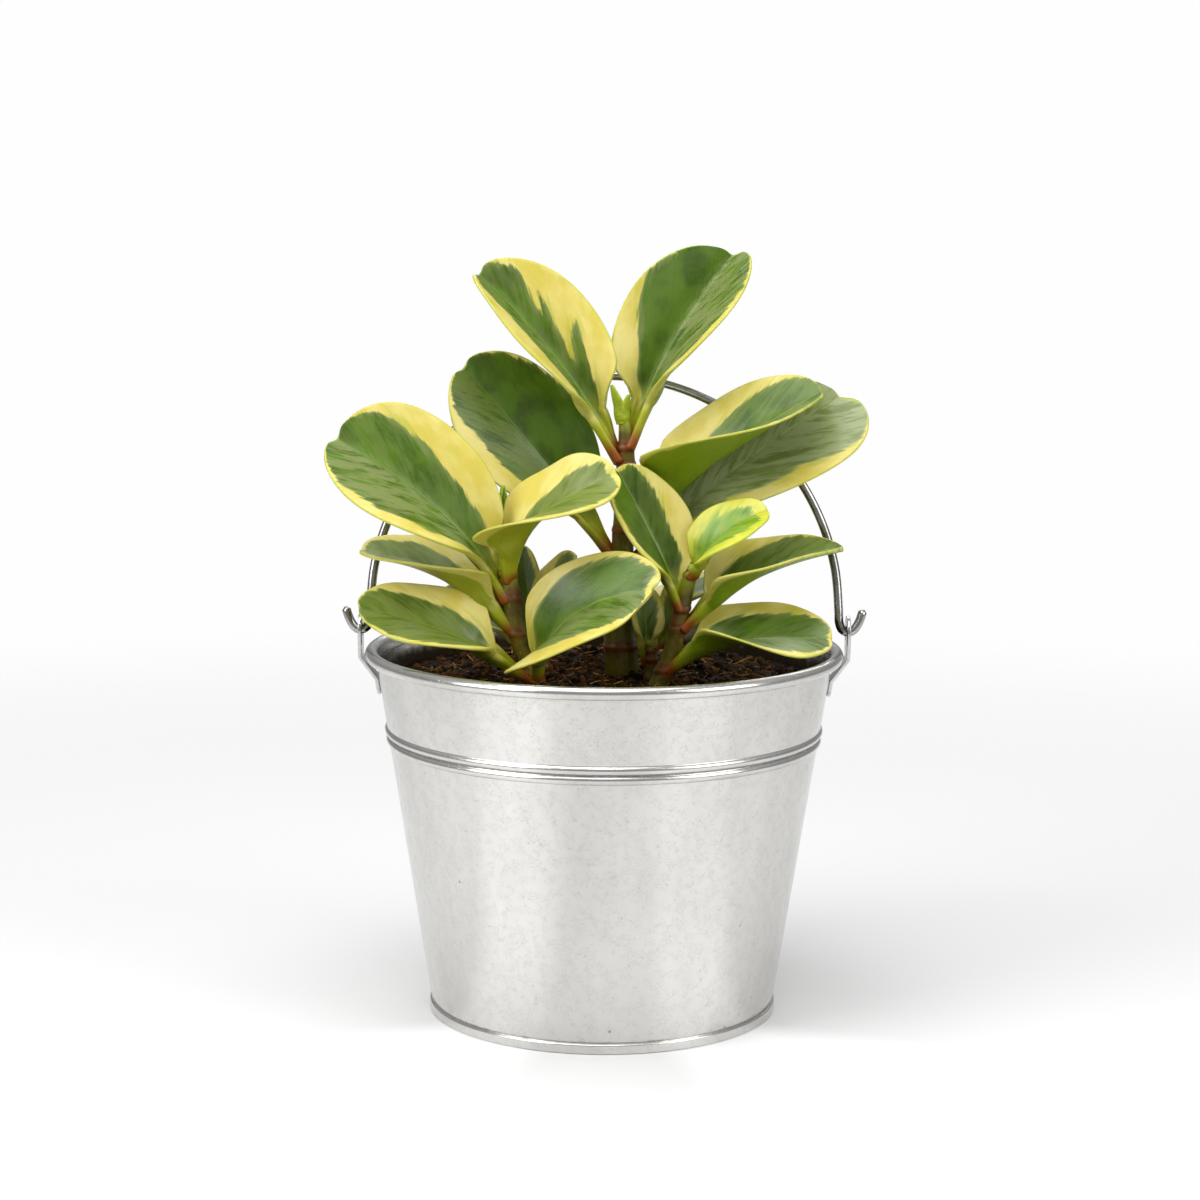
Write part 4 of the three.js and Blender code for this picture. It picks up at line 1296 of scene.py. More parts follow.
@dataclass(frozen=True)
class ZincFinish:
    """Galvanised sheet, darkened in bands at the given heights, with painted shade and a painted
    reflection of the soil inside the wall.
    """

    name: str
    dark_bands: tuple[tuple[float, float, float], ...]
    zinc: Colour = shown(222, 221, 218)
    dull: Colour = shown(197, 196, 192)
    dirt_and_shade: Colour = shown(66, 54, 38)
    inside_shade: float = 1.0
    inside_shade_from: float = 105.5
    inside_shade_to: float = 114

    def material(self, effects: Effects) -> bpy.types.Material:
        """Build the material.

        Args:
            effects: The shared shader groups.

        Returns:
            The finished material.
        """
        material, b, shader = new_material(self.name)
        place = b.place()
        height = b.parts(place)[2]
        total: Any = 0.0
        # Bands about the given heights: painted shade in the creases of the wall and the ears, and a
        # darker base.
        for middle, reach, weight in self.dark_bands:
            away = b.math("ABSOLUTE", b.math("SUBTRACT", height, middle * MM))
            near = b.rest(b.ease(away, 0.0, reach * MM))
            total = b.math("MULTIPLY_ADD", near, weight, total)
        # Painted shade and painted reflection of the soil on the inside of the wall, just above the soil.
        low = b.rest(b.ease(height, self.inside_shade_from * MM, self.inside_shade_to * MM))
        inside_shade = b.times(b.times(low, b.attribute("inside")), self.inside_shade)
        total = b.math("ADD", total, inside_shade)
        skin = place_group(b, effects.zinc_skin, Place=place, Grime=total, Zinc=self.zinc,
                           Dull=self.dull, Dirt=self.dirt_and_shade)
        b.fill(shader, Base_Color=skin.outputs["Colour"], Roughness=skin.outputs["Roughness"],
               Metallic=1.0)
        add_bump(b, shader, skin.outputs["Height"], 0.02, 0.5)
        return material


def wall_radius(height: float) -> float:
    """The outer radius of the bucket's tapered sheet at a height."""
    sheet = Bucket()
    at_rim = sheet.rim_radius - 2 * sheet.roll_radius + sheet.sheet
    at_foot = sheet.foot_radius - sheet.foot_step
    run = sheet.height - sheet.roll_radius - sheet.foot_height
    return mix(at_foot, at_rim, (height - sheet.foot_height) / run)


@dataclass
class Bucket:
    """The tapered zinc wall with its beads, rolled rim and foot seam, and the base."""

    height: float = 116
    rim_radius: float = 75
    foot_radius: float = 55
    sheet: float = 0.8
    roll_radius: float = 2
    foot_height: float = 3.2
    foot_step: float = 0.6
    bead_heights: tuple[float, ...] = (87, 90)
    bead_half_width: float = 1.4
    bead_rise: float = 0.9
    bead_points: int = 15
    crease: float = 0.25
    seam_depth: float = 0.12
    neck: float = 0.6
    base_recess: float = 2.6
    press_radii: tuple[float, ...] = (20, 36, 45)
    press_depth: float = 0.5
    press_half_width: float = 1.1
    gap: float = 0.3
    sides: int = 200
    body: str = "pot"
    slot: str = "zinc_sheet"

    def build(self, effects: Effects) -> None:
        """Make and dress the wall and the base."""
        # Painted shade under the rim roll and above the foot seam.
        wall = ZincFinish("zinc_wall", ((111.4, 0.9, 0.3), (3.6, 1.2, 0.5)))
        # The base is darker all over.
        base = ZincFinish("zinc_base", ((2.0, 3.0, 0.35),))
        points, faces = self._revolve(self._wall_profile(), True)
        radius = np.hypot(points[:, 0], points[:, 1])
        middle = np.array([wall_radius(z) for z in points[:, 2]]) - self.sheet / 2
        inside = np.where(radius < middle, 1.0, 0.0)
        piece = make_piece("bucket_wall_sheet", points, faces, {"inside": inside})
        dress(piece, "bucket_wall", self.body, self.slot, wall.material(effects))
        points, faces = self._revolve(self._base_profile(), False)
        piece = make_piece("bucket_base_disc", points, faces)
        dress(piece, "bucket_base", self.body, self.slot, base.material(effects))

    def _wall_profile(self) -> list[tuple[float, float]]:
        """The wall's section as a closed loop of radii and heights."""
        foot = self.foot_radius
        hem = self.foot_step
        outer = [(foot - hem - self.sheet / 2, 0.0)]
        for turn in np.radians(np.arange(-75, 1, 15)):
            outer.append((foot - hem + hem * math.cos(turn), hem + hem * math.sin(turn)))
        for turn in np.radians(np.arange(0, 76, 15)):
            outer.append((foot - hem + hem * math.cos(turn),
                          self.foot_height - hem + hem * math.sin(turn)))
        outer.append((wall_radius(self.foot_height) - self.seam_depth, self.foot_height + 0.05))
        inner = [(wall_radius(self.foot_height) - self.sheet, self.foot_height)]
        below = self.foot_height
        for bead in self.bead_heights:
            start = bead - self.bead_half_width
            straight = np.arange(below + 4, start - 1, 6)
            for z in (below + self.crease, *straight, start - self.crease):
                outer.append((wall_radius(z), z))
                inner.append((wall_radius(z) - self.sheet, z))
            for share in np.linspace(-1, 1, self.bead_points):
                z = bead + self.bead_half_width * share
                rise = self.bead_rise * math.cos(math.pi / 2 * share) ** 0.8
                outer.append((wall_radius(z) + rise, z))
                inner.append((wall_radius(z) + rise - self.sheet, z))
            below = bead + self.bead_half_width
        centre = (self.rim_radius - self.roll_radius, self.height - self.roll_radius)
        top = centre[1] - self.roll_radius - self.neck
        for z in (below + self.crease, *np.arange(below + 3, top - 1, 4), top - self.crease, top):
            outer.append((wall_radius(z), z))
            inner.append((wall_radius(z) - self.sheet, z))
        for turn in np.radians(np.arange(-140, 181, 12)):
            outer.append((centre[0] + self.roll_radius * math.cos(turn),
                          centre[1] + self.roll_radius * math.sin(turn)))
        inner_foot = [(foot - hem - 2 * self.sheet, 0.0)]
        return outer + inner[::-1] + inner_foot

    def _base_profile(self) -> list[tuple[float, float]]:
        """The base's section from its centre below to its centre above, with pressed rings."""
        edge = self.foot_radius - self.foot_step - 2 * self.sheet - self.gap
        low = self.base_recess
        under = [(0.0, low)]
        over = [(0.0, low + self.sheet)]
        for radius in np.linspace(3, edge - self.sheet - 1.5, 60):
            press = self.press_depth * sum(math.exp(-((radius - ring) / self.press_half_width) ** 2)
                                           for ring in self.press_radii)
            under.append((radius, low - press))
            over.append((radius, low + self.sheet - press))
        under += [(edge - self.sheet, low - 0.5), (edge - self.sheet, self.gap)]
        rim = [(edge, self.gap), (edge, low + self.sheet - 0.5), (edge - 0.5, low + self.sheet)]
        return under + rim + over[::-1]

    def _revolve(self, profile: list[tuple[float, float]],
                 closed: bool) -> tuple[np.ndarray, list[tuple[int, ...]]]:
        """Turn a section about the upright axis.

        Args:
            profile: Radii and heights. An open section starts and ends on the axis.
            closed: Whether the section is a loop.

        Returns:
            The points, and the faces with the outside on their front.
        """
        ring = profile if closed else profile[1:-1]
        turns = turns_round(self.sides)
        points = [(r * math.cos(a), r * math.sin(a), z) for r, z in ring for a in turns]
        count = len(ring)
        faces = faces_between(count, self.sides, closed=closed)
        if not closed:
            points += [(0.0, 0.0, profile[0][1]), (0.0, 0.0, profile[-1][1])]
            foot, end = count * self.sides, (count - 1) * self.sides
            for j in range(self.sides):
                after = (j + 1) % self.sides
                faces.append((foot, after, j))
                faces.append((foot + 1, end + j, end + after))
        placed = np.array(points)
        if volume(placed, faces) < 0:
            faces = [face[::-1] for face in faces]
        return placed, faces


@dataclass
class Ears:
    """The two bent straps with the eyes that hold the bail."""

    hinge_height: float = 120.7
    eye_hole: float = 2.3
    face: float = 75.9
    thick: float = 1.2
    eye_radius: float = 5.2
    width: float = 8.4
    tip_width: float = 5.6
    bend_height: float = 112.7
    lap_top: float = 105.6
    lap_bottom: float = 100.6
    gap: float = 0.3
    eased_by: float = 0.25
    end_height: float = 1
    end_narrowing: float = 0.72
    reaches: tuple[float, ...] = (0.0, 0.12, 0.3, 0.6, 1.0)
    eye_points: int = 40
    side_steps: int = 5
    foot_points: int = 8
    body: str = "pot"
    slot: str = "ear_steel"

    def build(self, effects: Effects) -> None:
        """Make and dress both ears."""
        # Painted shade at the strap's bend beside the rim and at its end on the wall.
        finish = ZincFinish("ear_zinc", ((112.7, 2.0, 0.4), (101.5, 2.0, 0.45)),
                            zinc=shown(206, 206, 204), dull=shown(168, 167, 164)).material(effects)
        for name, side in (("ear_right", 1), ("ear_left", -1)):
            piece = self._plate(name + "_plate", side)
            dress(piece, name, self.body, self.slot, finish)

    def _plate(self, name: str, side: int) -> bpy.types.Object:
        """Make one ear from its sheet, thickened and with its edges eased.

        Args:
            name: The piece's name.
            side: 1 on the right, -1 on the left.

        Returns:
            The ear.
        """
        outline, foot_first = self._outline()
        count = len(outline)
        points: list[Point] = []
        for reach in self.reaches:
            for y, z in outline:
                far = math.hypot(y, z)
                radius = mix(self.eye_hole, far, reach)
                points.append((self.face, y / far * radius, self.hinge_height + z / far * radius))
        faces = faces_between(len(self.reaches), count)
        foot_first += (len(self.reaches) - 1) * count
        row = [foot_first + k for k in range(self.foot_points + 1)]
        for x, z in self._strap_line():
            fall = (self.bend_height - z) / (self.bend_height - self.lap_bottom)
            wide = mix(self.width, self.tip_width, fall)
            if z < self.lap_bottom + self.end_height:
                wide = wide * self.end_narrowing
            below = []
            for k in range(self.foot_points + 1):
                points.append((x, wide * (k / self.foot_points - 0.5), z))
                below.append(len(points) - 1)
            for k in range(self.foot_points):
                faces.append((row[k], row[k + 1], below[k + 1], below[k]))
            row = below
        placed = np.array(points, float) * (side, 1, 1)
        if side > 0:
            faces = [face[::-1] for face in faces]
        piece = make_piece(name, placed, faces)
        shell = piece.modifiers.new("thickness", "SOLIDIFY")
        shell.thickness = self.thick * MM
        shell.offset = 1
        eased = piece.modifiers.new("eased_edges", "BEVEL")
        eased.width = self.eased_by * MM
        eased.segments = 3
        eased.limit_method = "ANGLE"
        eased.angle_limit = math.radians(50)
        apply_modifiers(piece)
        return piece

    def _outline(self) -> tuple[list[tuple[float, float]], int]:
        """The eye plate's outline about the hinge, and the number of its foot's first point."""
        outline = []
        for k in range(self.eye_points + 1):
            turn = math.pi * k / self.eye_points
            outline.append((self.eye_radius * math.cos(turn), self.eye_radius * math.sin(turn)))
        drop = self.bend_height - self.hinge_height
        shares = [k / self.side_steps for k in range(1, self.side_steps)]
        side = [(mix(self.eye_radius, self.width / 2, share), drop * share) for share in shares]
        outline += [(-y, z) for y, z in side]
        foot_first = len(outline)
        for k in range(self.foot_points + 1):
            outline.append((self.width * (k / self.foot_points - 0.5), drop))
        return outline + side[::-1], foot_first

    def _strap_line(self) -> list[tuple[float, float]]:
        """The strap's back face from under its bend down the wall, as x and height."""
        lap = [(wall_radius(z) + self.gap, z) for z in
               np.linspace(self.lap_top, self.lap_bottom + 0.9 * self.end_height, 5)]
        lap.append((wall_radius(self.lap_bottom) + self.gap, self.lap_bottom))
        top = (self.face, self.bend_height)
        bend = []
        for share in np.linspace(0.15, 0.9, 6):
            bend.append((mix(top[0], lap[0][0], share), mix(top[1], lap[0][1], share)))
        return bend + lap


@dataclass(frozen=True)
class WireFinish:
    """Dark drawn steel wire."""

    name: str = "bail_wire"
    steel: Colour = shown(176, 174, 172)
    dark: Colour = shown(104, 100, 96)

    def material(self) -> bpy.types.Material:
        """Build the material, with fine marks from drawing and a few dull patches."""
        material, b, shader = new_material(self.name)
        place = b.place()
        marks = b.noise(place, 900, 2, 0.6)
        patch = b.noise(b.scaled(place, 1, 1, 1, 0.3), 90, 3, 0.6)
        tone = b.math("MULTIPLY_ADD", b.ease(patch, 0.42, 0.68), 0.6,
                      b.times(b.ease(marks, 0.5, 0.75), 0.3))
        b.fill(shader, Base_Color=b.blend(self.steel, self.dark, tone),
               Roughness=b.math("MULTIPLY_ADD", patch, 0.14, 0.1), Metallic=1.0)
        add_bump(b, shader, marks, 0.03, 0.5)
        return material


@dataclass
class Bail:
    """The wire handle: an arch whose hooked ends turn in the two eyes."""

    hinge_height: float = 120.7
    wire_radius: float = 1.4
    arch_radius: float = 73.6
    spring_height: float = 127.6
    lean: float = 11
    hook: tuple[tuple[float, float], ...] = (
        (7.8, 7.2), (6.3, 3), (4.6, 0.6), (2.9, 0), (1.1, 0.8), (0.2, 3))
    arch_steps: int = 18
    stations: int = 300
    sides: int = 20
    body: str = "bail"
    slot: str = "bail_wire"

    def build(self) -> None:
        """Make and dress the wire."""
        piece = skins_piece("bail_wire_arch", [self._skin()])
        dress(piece, "bail", self.body, self.slot, WireFinish().material())

    def _centre_line(self) -> np.ndarray:
        """The wire's centre line, evenly spaced, before it leans."""
        hooked = [(self.arch_radius + out, self.hinge_height + up) for out, up in self.hook]
        points = [(x, 0.0, z) for x, z in hooked]
        for i in range(self.arch_steps + 1):
            turn = math.pi * i / self.arch_steps
            points.append((self.arch_radius * math.cos(turn), 0.0,
                           self.spring_height + self.arch_radius * math.sin(turn)))
        points += [(-x, 0.0, z) for x, z in hooked[::-1]]
        curve = CentripetalCurve(np.array(points))
        fine = np.array([curve.at(place) for place in np.linspace(0, curve.spans, 3000)])
        walked = np.concatenate([[0.0], np.cumsum(np.linalg.norm(np.diff(fine, axis=0), axis=1))])
        even = np.linspace(0, walked[-1], self.stations)
        return np.stack([np.interp(even, walked, fine[:, k]) for k in range(3)], axis=1)

    def _skin(self) -> Skin:
        """Sweep the wire along its line, with rounded ends, and lean it back."""
        line = self._centre_line()
        run = unit(np.gradient(line, axis=0))
        flat = np.array([0.0, 1.0, 0.0])
        normal = np.cross(run, flat)
        steps = np.concatenate([[0.0], np.cumsum(np.linalg.norm(np.diff(line, axis=0), axis=1))])
        to_end = np.minimum(steps, steps[-1] - steps)
        inside = np.clip(1 - to_end / (self.wire_radius * 0.7), 0, 1)
        radius = self.wire_radius * np.sqrt(np.clip(1 - 0.92 * inside ** 2, 0, 1))
        turns = turns_round(self.sides)
        ring = np.cos(turns)[None, :, None] * normal[:, None] + np.sin(turns)[None, :, None] * flat
        rings = line[:, None] + radius[:, None, None] * ring
        lean = math.radians(self.lean)
        pivot = np.array([0.0, 0.0, self.hinge_height])
        turn = np.array([[1, 0, 0], [0, math.cos(lean), math.sin(lean)],
                         [0, -math.sin(lean), math.cos(lean)]])
        rings = (rings - pivot) @ turn.T + pivot
        ends = (line[[0, -1]] - pivot) @ turn.T + pivot
        return Skin(rings[:, ::-1], ends[0], ends[1])


@dataclass(frozen=True)
class SoilFinish:
    """Moist peat: nearly black, with brown crumbs and golden fibres."""

    name: str
    base: Colour
    dark: Colour
    light: Colour
    tint: Colour
    roughness: float = 0.85

    def material(self, effects: Effects, varied: bool) -> bpy.types.Material:
        """Build the material.

        Args:
            effects: The shared shader groups.
            varied: Whether each grain of the piece has a tint of its own.

        Returns:
            The finished material.
        """
        material, b, shader = new_material(self.name)
        mottle = place_group(b, effects.bark_mottle, Place=b.place(), Base=self.base,
                             Dark=self.dark, Light=self.light)
        colour = mottle.outputs["Colour"]
        if varied:
            share = b.math("POWER", b.attribute("grain"), 1.6)
            colour = b.blend(colour, self.tint, share)
        damp = b.noise(b.place(), 70, 2, 0.5)
        rough = b.math("MULTIPLY_ADD", damp, -0.35, self.roughness + 0.1)
        b.fill(shader, Base_Color=colour, Roughness=rough, Specular_IOR_Level=0.12)
        add_bump(b, shader, mottle.outputs["Height"], 0.7, 0.9)
        return material


class Grain(Enum):
    """What lies loose on the soil."""

    CRUMB = "soil_crumbs"
    FIBRE = "soil_fibres"
    CHIP = "soil_chips"


@dataclass(frozen=True)
class Scatter:
    """How one kind of grain is strewn: how many to a square metre and how large.

    keep_clear is how far its middles stay from the wall.
    """

    kind: Grain
    density: float
    smallest: float
    largest: float
    keep_clear: float
    seed: int


@dataclass
class Soil:
    """The peat that fills the bucket, with crumbs, fibres and chips on it."""

    at_wall: float = 104.4
    mound: float = 0.8
    lump: float = 0.6
    edge_share: float = 1 / 6
    crumble: float = 0.75
    clod: float = 1.1
    clods_inward: float = 8
    bottom: float = 3.7
    gap: float = 0.3
    sheet: float = 0.8
    sides: int = 190
    rings: int = 84
    side_shares: tuple[float, ...] = (0.0, 0.3, 0.6, 0.9)
    body: str = "pot"
    slot: str = "potting_soil"
    strewn: tuple[Scatter, ...] = (
        Scatter(Grain.CRUMB, 230000, 0.9, 4.0, 2.8, 5),
        Scatter(Grain.FIBRE, 105000, 3.5, 11.0, 7.5, 8),
        Scatter(Grain.CHIP, 16000, 2.2, 6.0, 4.6, 13),
    )

    def build(self, effects: Effects) -> None:
        """Make and dress the soil and what is strewn on it."""
        peat = SoilFinish("peat", shown(18, 9, 1), shown(8, 4, 0), shown(50, 29, 6),
                          shown(50, 29, 6))
        crumbs = SoilFinish("peat_crumbs", shown(20, 10, 1), shown(9, 4, 0),
                            shown(66, 40, 8), shown(88, 55, 14))
        fibres = SoilFinish("peat_fibres", shown(110, 70, 18), shown(56, 32, 6),
                            shown(190, 134, 50), shown(206, 152, 62), 0.6)
        top, skin = self._skin()
        piece = skins_piece("soil_bed", [skin])
        dress(piece, "soil", self.body, self.slot, peat.material(effects, False))
        finishes = {Grain.CRUMB: crumbs, Grain.FIBRE: fibres, Grain.CHIP: crumbs}
        made = {finish.name: finish.material(effects, True) for finish in (crumbs, fibres)}
        for scatter in self.strewn:
            strewn = self._strew(scatter, top, made[finishes[scatter.kind].name])
            dress(strewn, None, self.body, self.slot)

    def _height(self, x: float, y: float, top_radius: float) -> float:
        """The soil's height at a point, with its mound, lumps and crumbs."""
        inward = max(0.0, 1 - math.hypot(x, y) / top_radius)
        small = math.sin(x * 0.42 + 1.3) * math.cos(y * 0.37 + 0.4)
        broad = math.sin(x * 0.23 - y * 0.31)
        lumps = self.lump * (small + broad) * min(1, inward / self.edge_share)
        rough = noise.fractal(Vector((x * 0.32, y * 0.32, 2.5)), 0.75, 2.1, 5)
        clods = noise.noise(Vector((x * 0.13, y * 0.13, 7.1)))
        clods = clods * min(1, inward * self.clods_inward)
        return (self.at_wall + self.mound * math.sin(inward * math.pi / 2) + lumps
                + self.crumble * rough + self.clod * clods)

    def _skin(self) -> tuple[np.ndarray, Skin]:
        """Loft the bed: its bottom, its side and its rough top.

        Returns:
            The rings of the top alone, and the closed skin.
        """
        top_radius = wall_radius(self.at_wall) - self.sheet - self.gap
        turns = turns_round(self.sides)
        circle = np.stack([np.cos(turns), np.sin(turns)], axis=1)
        low_radius = wall_radius(self.bottom) - self.sheet - self.gap
        rings = []
        for share in self.side_shares:
            radius = mix(low_radius, top_radius, share)
            z = mix(self.bottom, self.at_wall - 2, share)
            rings.append(np.column_stack([circle * radius, np.full(self.sides, z)]))
        first_top = len(rings)
        for i in range(self.rings, 0, -1):
            flat = circle * (top_radius - 0.6 * (i == self.rings)) * i / self.rings
            z = [self._height(x, y, top_radius) for x, y in flat]
            rings.append(np.column_stack([flat, z]))
        centre = np.array([0.0, 0.0, self._height(0.0, 0.0, top_radius)])
        built = np.array(rings)
        return built[first_top:], Skin(built, np.array([0.0, 0.0, self.bottom]), centre)

    def _strew(self, scatter: Scatter, top: np.ndarray,
               finish: bpy.types.Material) -> bpy.types.Object:
        """Strew one kind of grain over the top of the bed.

        Args:
            scatter: The grain, its number and its size.
            top: The rings of the soil's top.
            finish: The grain's material.

        Returns:
            The piece with every grain in a plain mesh.
        """
        reach = wall_radius(self.at_wall) - self.sheet - scatter.keep_clear
        top = top[np.hypot(top[:, 0, 0], top[:, 0, 1]) < reach]
        faces = faces_between(top.shape[0], self.sides)
        piece = make_piece(scatter.kind.value, top.reshape(-1, 3), faces)
        tree = GrainTree(scatter.kind).tree
        modifier = piece.modifiers.new("strewn", "NODES")
        modifier.node_group = tree
        wanted = {"Density": scatter.density, "Smallest": scatter.smallest * MM,
                  "Largest": scatter.largest * MM, "Seed": scatter.seed, "Finish": finish}
        for item in tree.interface.items_tree:
            if item.name in wanted:
                modifier[item.identifier] = wanted[item.name]
        apply_modifiers(piece)
        return piece


class GrainTree:
    """The Geometry Nodes that strew one kind of grain over a surface."""

    def __init__(self, kind: Grain) -> None:
        """Build the tree.

        Args:
            kind: The grain that it strews.
        """
        self.tree = bpy.data.node_groups.new("strew_" + kind.value, "GeometryNodeTree")
        takes = (("Geometry", "Geometry"), ("Density", "Float"), ("Smallest", "Float"),
                 ("Largest", "Float"), ("Seed", "Int"), ("Finish", "Material"))
        for name, socket in takes:
            self.tree.interface.new_socket(name=name, in_out="INPUT",
                                           socket_type="NodeSocket" + socket)
        self.tree.interface.new_socket(name="Geometry", in_out="OUTPUT",
                                       socket_type="NodeSocketGeometry")
        self.bench = Bench(self.tree)
        self.start = self.bench.node("NodeGroupInput").outputs
        self._lay(kind)

    def _random(self, kind: str, low: Any, high: Any, step: int) -> Any:
        """A socket with a random number or vector for each point."""
        made = self.bench.node("FunctionNodeRandomValue", data_type=kind)
        if kind == "FLOAT_VECTOR":
            made.inputs[0].default_value = low
            made.inputs[1].default_value = high
        else:
            self.bench.feed(made.inputs[2], low)
            self.bench.feed(made.inputs[3], high)
        seed = self.bench.math("ADD", self.start["Seed"], step)
        self.bench.feed(made.inputs["Seed"], seed)
        return made.outputs[0] if kind == "FLOAT_VECTOR" else made.outputs[1]

    def _grain(self, kind: Grain) -> Any:
        """A socket with one grain, about one unit long."""
        b = self.bench
        if kind is Grain.CRUMB:
            ball = b.node("GeometryNodeMeshIcoSphere")
            b.fill(ball, Radius=0.5, Subdivisions=2)
            return ball.outputs["Mesh"]
        if kind is Grain.CHIP:
            block = b.node("GeometryNodeMeshCube")
            b.fill(block, Size=(1.0, 0.5, 0.18))
            return block.outputs["Mesh"]
        strand = b.node("GeometryNodeCurveQuadraticBezier")
        b.fill(strand, Resolution=5, Start=(-0.5, 0, -0.03), Middle=(0.05, 0.3, 0.09),
               End=(0.5, -0.05, -0.02))
        section = b.node("GeometryNodeCurvePrimitiveCircle")
        b.fill(section, Resolution=4, Radius=0.022)
        swept = b.node("GeometryNodeCurveToMesh")
        b.fill(swept, Fill_Caps=True, Curve=strand.outputs[0], Profile_Curve=section.outputs[0])
        return swept.outputs[0]

    def _lay(self, kind: Grain) -> None:
        """Strew, turn, size and colour the grains, and make them one plain mesh."""
        b = self.bench
        points = b.node("GeometryNodeDistributePointsOnFaces")
        b.fill(points, Mesh=self.start["Geometry"], Density=self.start["Density"],
               Seed=self.start["Seed"])
        laid = b.node("GeometryNodeInstanceOnPoints")
        b.fill(laid, Points=points.outputs["Points"], Instance=self._grain(kind))
        tilt = math.pi if kind is Grain.CRUMB else math.radians(26)
        turn = self._random("FLOAT_VECTOR", (-tilt, -tilt, -math.pi), (tilt, tilt, math.pi), 1)
        b.fill(laid, Rotation=turn)
        share = b.math("POWER", self._random("FLOAT", 0.0, 1.0, 2), 2.0)
        span = b.math("SUBTRACT", self.start["Largest"], self.start["Smallest"])
        size = b.math("MULTIPLY_ADD", share, span, self.start["Smallest"])
        form = self._random("FLOAT_VECTOR", (0.7, 0.6, 0.5), (1.2, 1.1, 0.9), 3)
        scale = b.node("ShaderNodeVectorMath", operation="SCALE")
        b.fill(scale, Vector=form, Scale=size)
        b.fill(laid, Scale=scale.outputs[0])
        tint = b.node("GeometryNodeStoreNamedAttribute", data_type="FLOAT", domain="INSTANCE")
        b.fill(tint, Name="grain", Geometry=laid.outputs[0],
               Value=self._random("FLOAT", 0.0, 1.0, 4))
        plain = b.node("GeometryNodeRealizeInstances")
        b.feed(plain.inputs[0], tint.outputs[0])
        smooth = b.node("GeometryNodeSetShadeSmooth")
        b.fill(smooth, Geometry=plain.outputs[0], Shade_Smooth=kind is not Grain.CHIP)
        finish = b.node("GeometryNodeSetMaterial")
        b.fill(finish, Geometry=smooth.outputs[0], Material=self.start["Finish"])
        end = b.node("NodeGroupOutput")
        b.feed(end.inputs[0], finish.outputs[0])


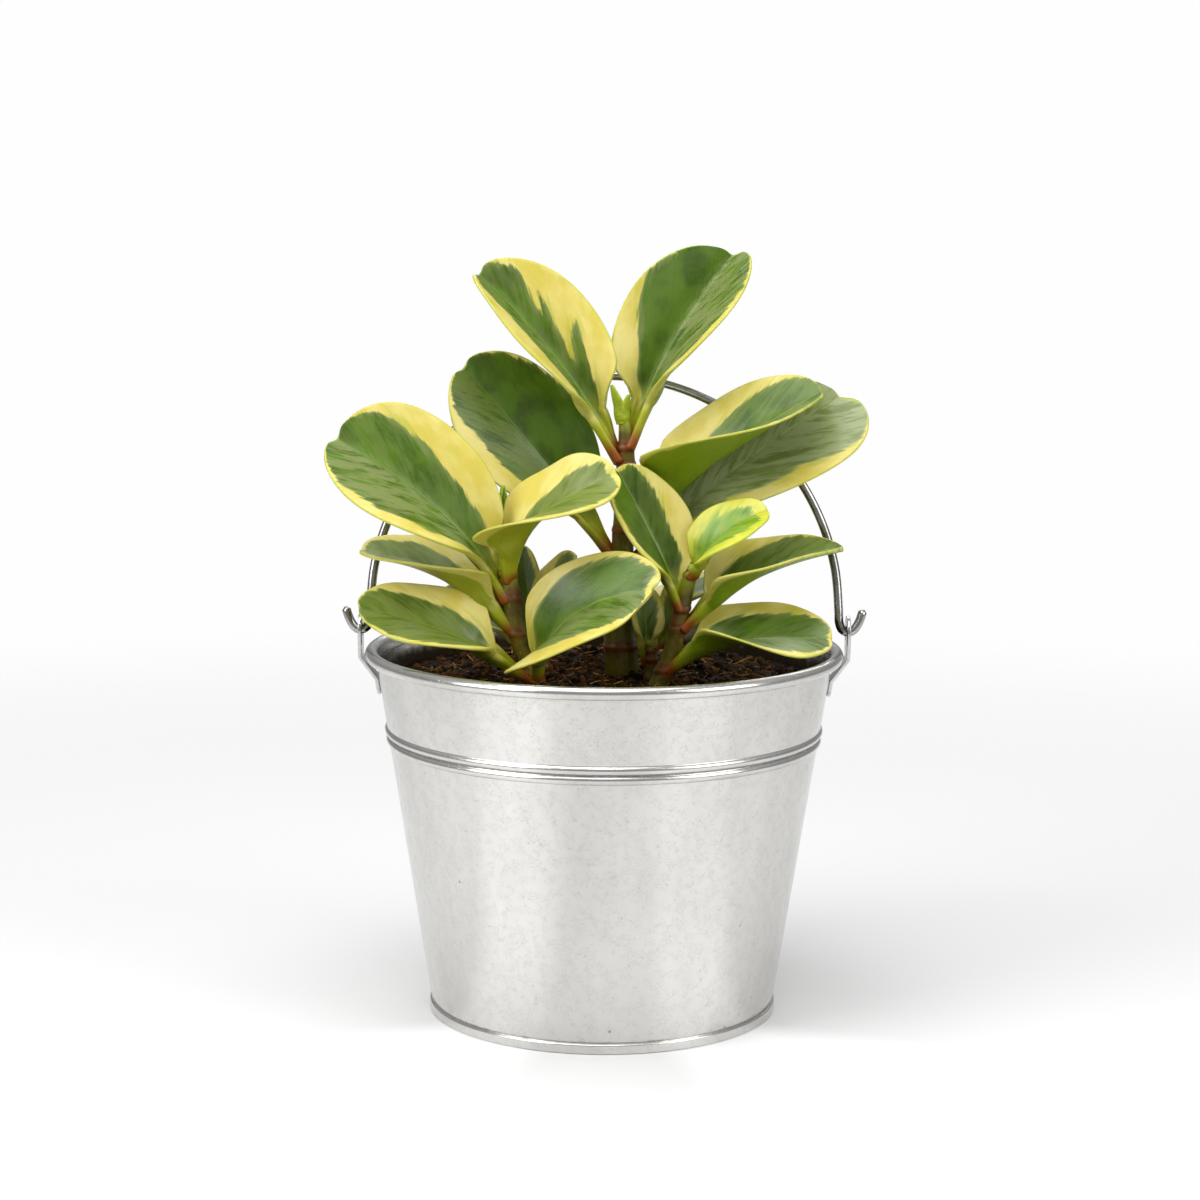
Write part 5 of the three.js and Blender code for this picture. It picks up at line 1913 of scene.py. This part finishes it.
@dataclass
class Studio:
    """The plain floor, the soft lights and the camera."""

    target: Point = (-1.42, 0.0, 130.5)
    distance: float = 900
    pitch: float = 8.62
    roll: float = 0.35
    focal_px: float = 2869
    frame_px: float = 1200
    sensor: float = 36
    floor_reach: float = 1.6
    floor_sides: int = 96
    floor_fades: tuple[float, float] = (0.22, 0.8)
    backdrop: float = 0.992
    floor_white: float = 0.7
    horizon: float = 0.38
    sky: float = 0.67
    below: float = 1.0
    band_light: float = 0.2
    band_from: float = 24
    band_to: float = 62
    band_soft: float = 9

    def build(self) -> None:
        """Make the floor, the lights, the surroundings and the camera."""
        self._camera()
        self._floor()
        self._surroundings()
        self._lights()
        bpy.context.scene.view_settings.view_transform = "Standard"

    def _camera(self) -> None:
        """Place the camera where the photograph was taken from."""
        pitch = math.radians(self.pitch)
        roll = math.radians(self.roll)
        back = Vector((0.0, -math.cos(pitch), math.sin(pitch)))
        level = Vector((1.0, 0.0, 0.0))
        rise = back.cross(level)
        right = level * math.cos(roll) + rise * math.sin(roll)
        up = back.cross(right)
        data = bpy.data.cameras.new("camera")
        data.sensor_width = self.sensor
        data.lens = self.focal_px / self.frame_px * self.sensor
        data.clip_end = 20
        camera = bpy.data.objects.new("camera", data)
        place = Vector(self.target) * MM + back * self.distance * MM
        turn = Matrix((right, up, back)).transposed().to_4x4()
        camera.matrix_world = Matrix.Translation(place) @ turn
        bpy.context.scene.collection.objects.link(camera)
        bpy.context.scene.camera = camera

    def _floor(self) -> None:
        """Lay a round pale floor that fades out far away.

        Two patches to the front's left and right glow a little: painted light that the floor emits, which
        gives the zinc its bright upright bands.
        """
        reach = self.floor_reach / MM
        turns = turns_round(self.floor_sides)
        ring = np.column_stack([np.cos(turns) * reach, np.sin(turns) * reach, np.zeros_like(turns)])
        floor = make_piece("studio_floor", ring, [tuple(range(self.floor_sides))])
        material, b, shader = new_material("pale_floor")
        place = b.place()
        flat = b.node("ShaderNodeVectorMath", operation="LENGTH")
        b.feed(flat.inputs[0], place)
        white = self.floor_white
        b.fill(shader, Alpha=b.rest(b.ease(flat.outputs["Value"], *self.floor_fades)),
               Base_Color=(white, white, white, 1), Roughness=0.9, Specular_IOR_Level=0.1)
        parts = b.parts(place)
        turn = b.math("ARCTAN2", b.math("ABSOLUTE", parts[0]), b.times(parts[1], -1))
        low, high, soft = (math.radians(v) for v in (self.band_from, self.band_to, self.band_soft))
        rising = b.ease(turn, low - soft, low + soft)
        falling = b.rest(b.ease(turn, high - soft, high + soft))
        # Painted light: the floor itself glows in two wedges in front.
        lit = b.times(b.times(rising, falling), self.band_light)
        b.fill(shader, Emission_Strength=lit, Emission_Color=(1, 1, 1, 1))
        floor.data.materials.append(material)

    def _surroundings(self) -> None:
        """Surround the scene with light: bright above, dim at the horizon, pale where seen."""
        world = bpy.data.worlds.new("soft_surroundings")
        world.use_nodes = True
        world.node_tree.nodes.clear()
        b = Bench(world.node_tree)
        height = b.parts(b.node("ShaderNodeTexCoord").outputs["Generated"])[2]
        above = b.times(b.ease(height, 0.1, 0.75), self.sky - self.horizon)
        under = b.times(b.ease(b.times(height, -1), 0.02, 0.12),
                       self.below - self.horizon)
        light = b.node("ShaderNodeBackground")
        b.fill(light, Strength=b.math("ADD", b.math("ADD", above, under), self.horizon))
        plain = b.node("ShaderNodeBackground")
        b.fill(plain, Color=(self.backdrop, self.backdrop, self.backdrop, 1))
        seen = b.node("ShaderNodeMixShader")
        b.feed(seen.inputs[0], b.node("ShaderNodeLightPath").outputs["Is Camera Ray"])
        b.feed(seen.inputs[1], light.outputs[0])
        b.feed(seen.inputs[2], plain.outputs[0])
        b.feed(b.node("ShaderNodeOutputWorld").inputs["Surface"], seen.outputs[0])
        bpy.context.scene.world = world

    def _lights(self) -> None:
        """Set soft boxes over the left and right, and one from behind."""
        boxes = (
            ("soft_box_top", (-120, -260, 1100), 900, 9.0),
            ("soft_box_left", (-760, -520, 620), 600, 5.0),
            ("soft_box_right", (780, -480, 560), 560, 3.6),
            ("soft_box_back", (160, 900, 800), 700, 2.8),
        )
        aim = Vector(self.target) * MM
        for name, place, size, power in boxes:
            data = bpy.data.lights.new(name, "AREA")
            data.size = size * MM
            data.energy = power
            light = bpy.data.objects.new(name, data)
            light.location = Vector(place) * MM
            light.rotation_euler = (aim - light.location).to_track_quat("-Z", "Y").to_euler()
            light.visible_camera = False
            bpy.context.scene.collection.objects.link(light)


def main() -> None:
    """Load the frame and build the plant, the bucket and the studio round it."""
    logging.basicConfig(level=logging.INFO, format="%(name)s: %(message)s")
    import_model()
    Studio().build()
    effects = Effects()
    rule = BladeRule()
    Bucket().build(effects)
    Ears().build(effects)
    Bail().build()
    Soil().build(effects)
    Stems(STEMS, BUDS, rule).build(effects)
    Foliage(LEAVES, rule).build(effects)


if __name__ == "__main__":
    main()
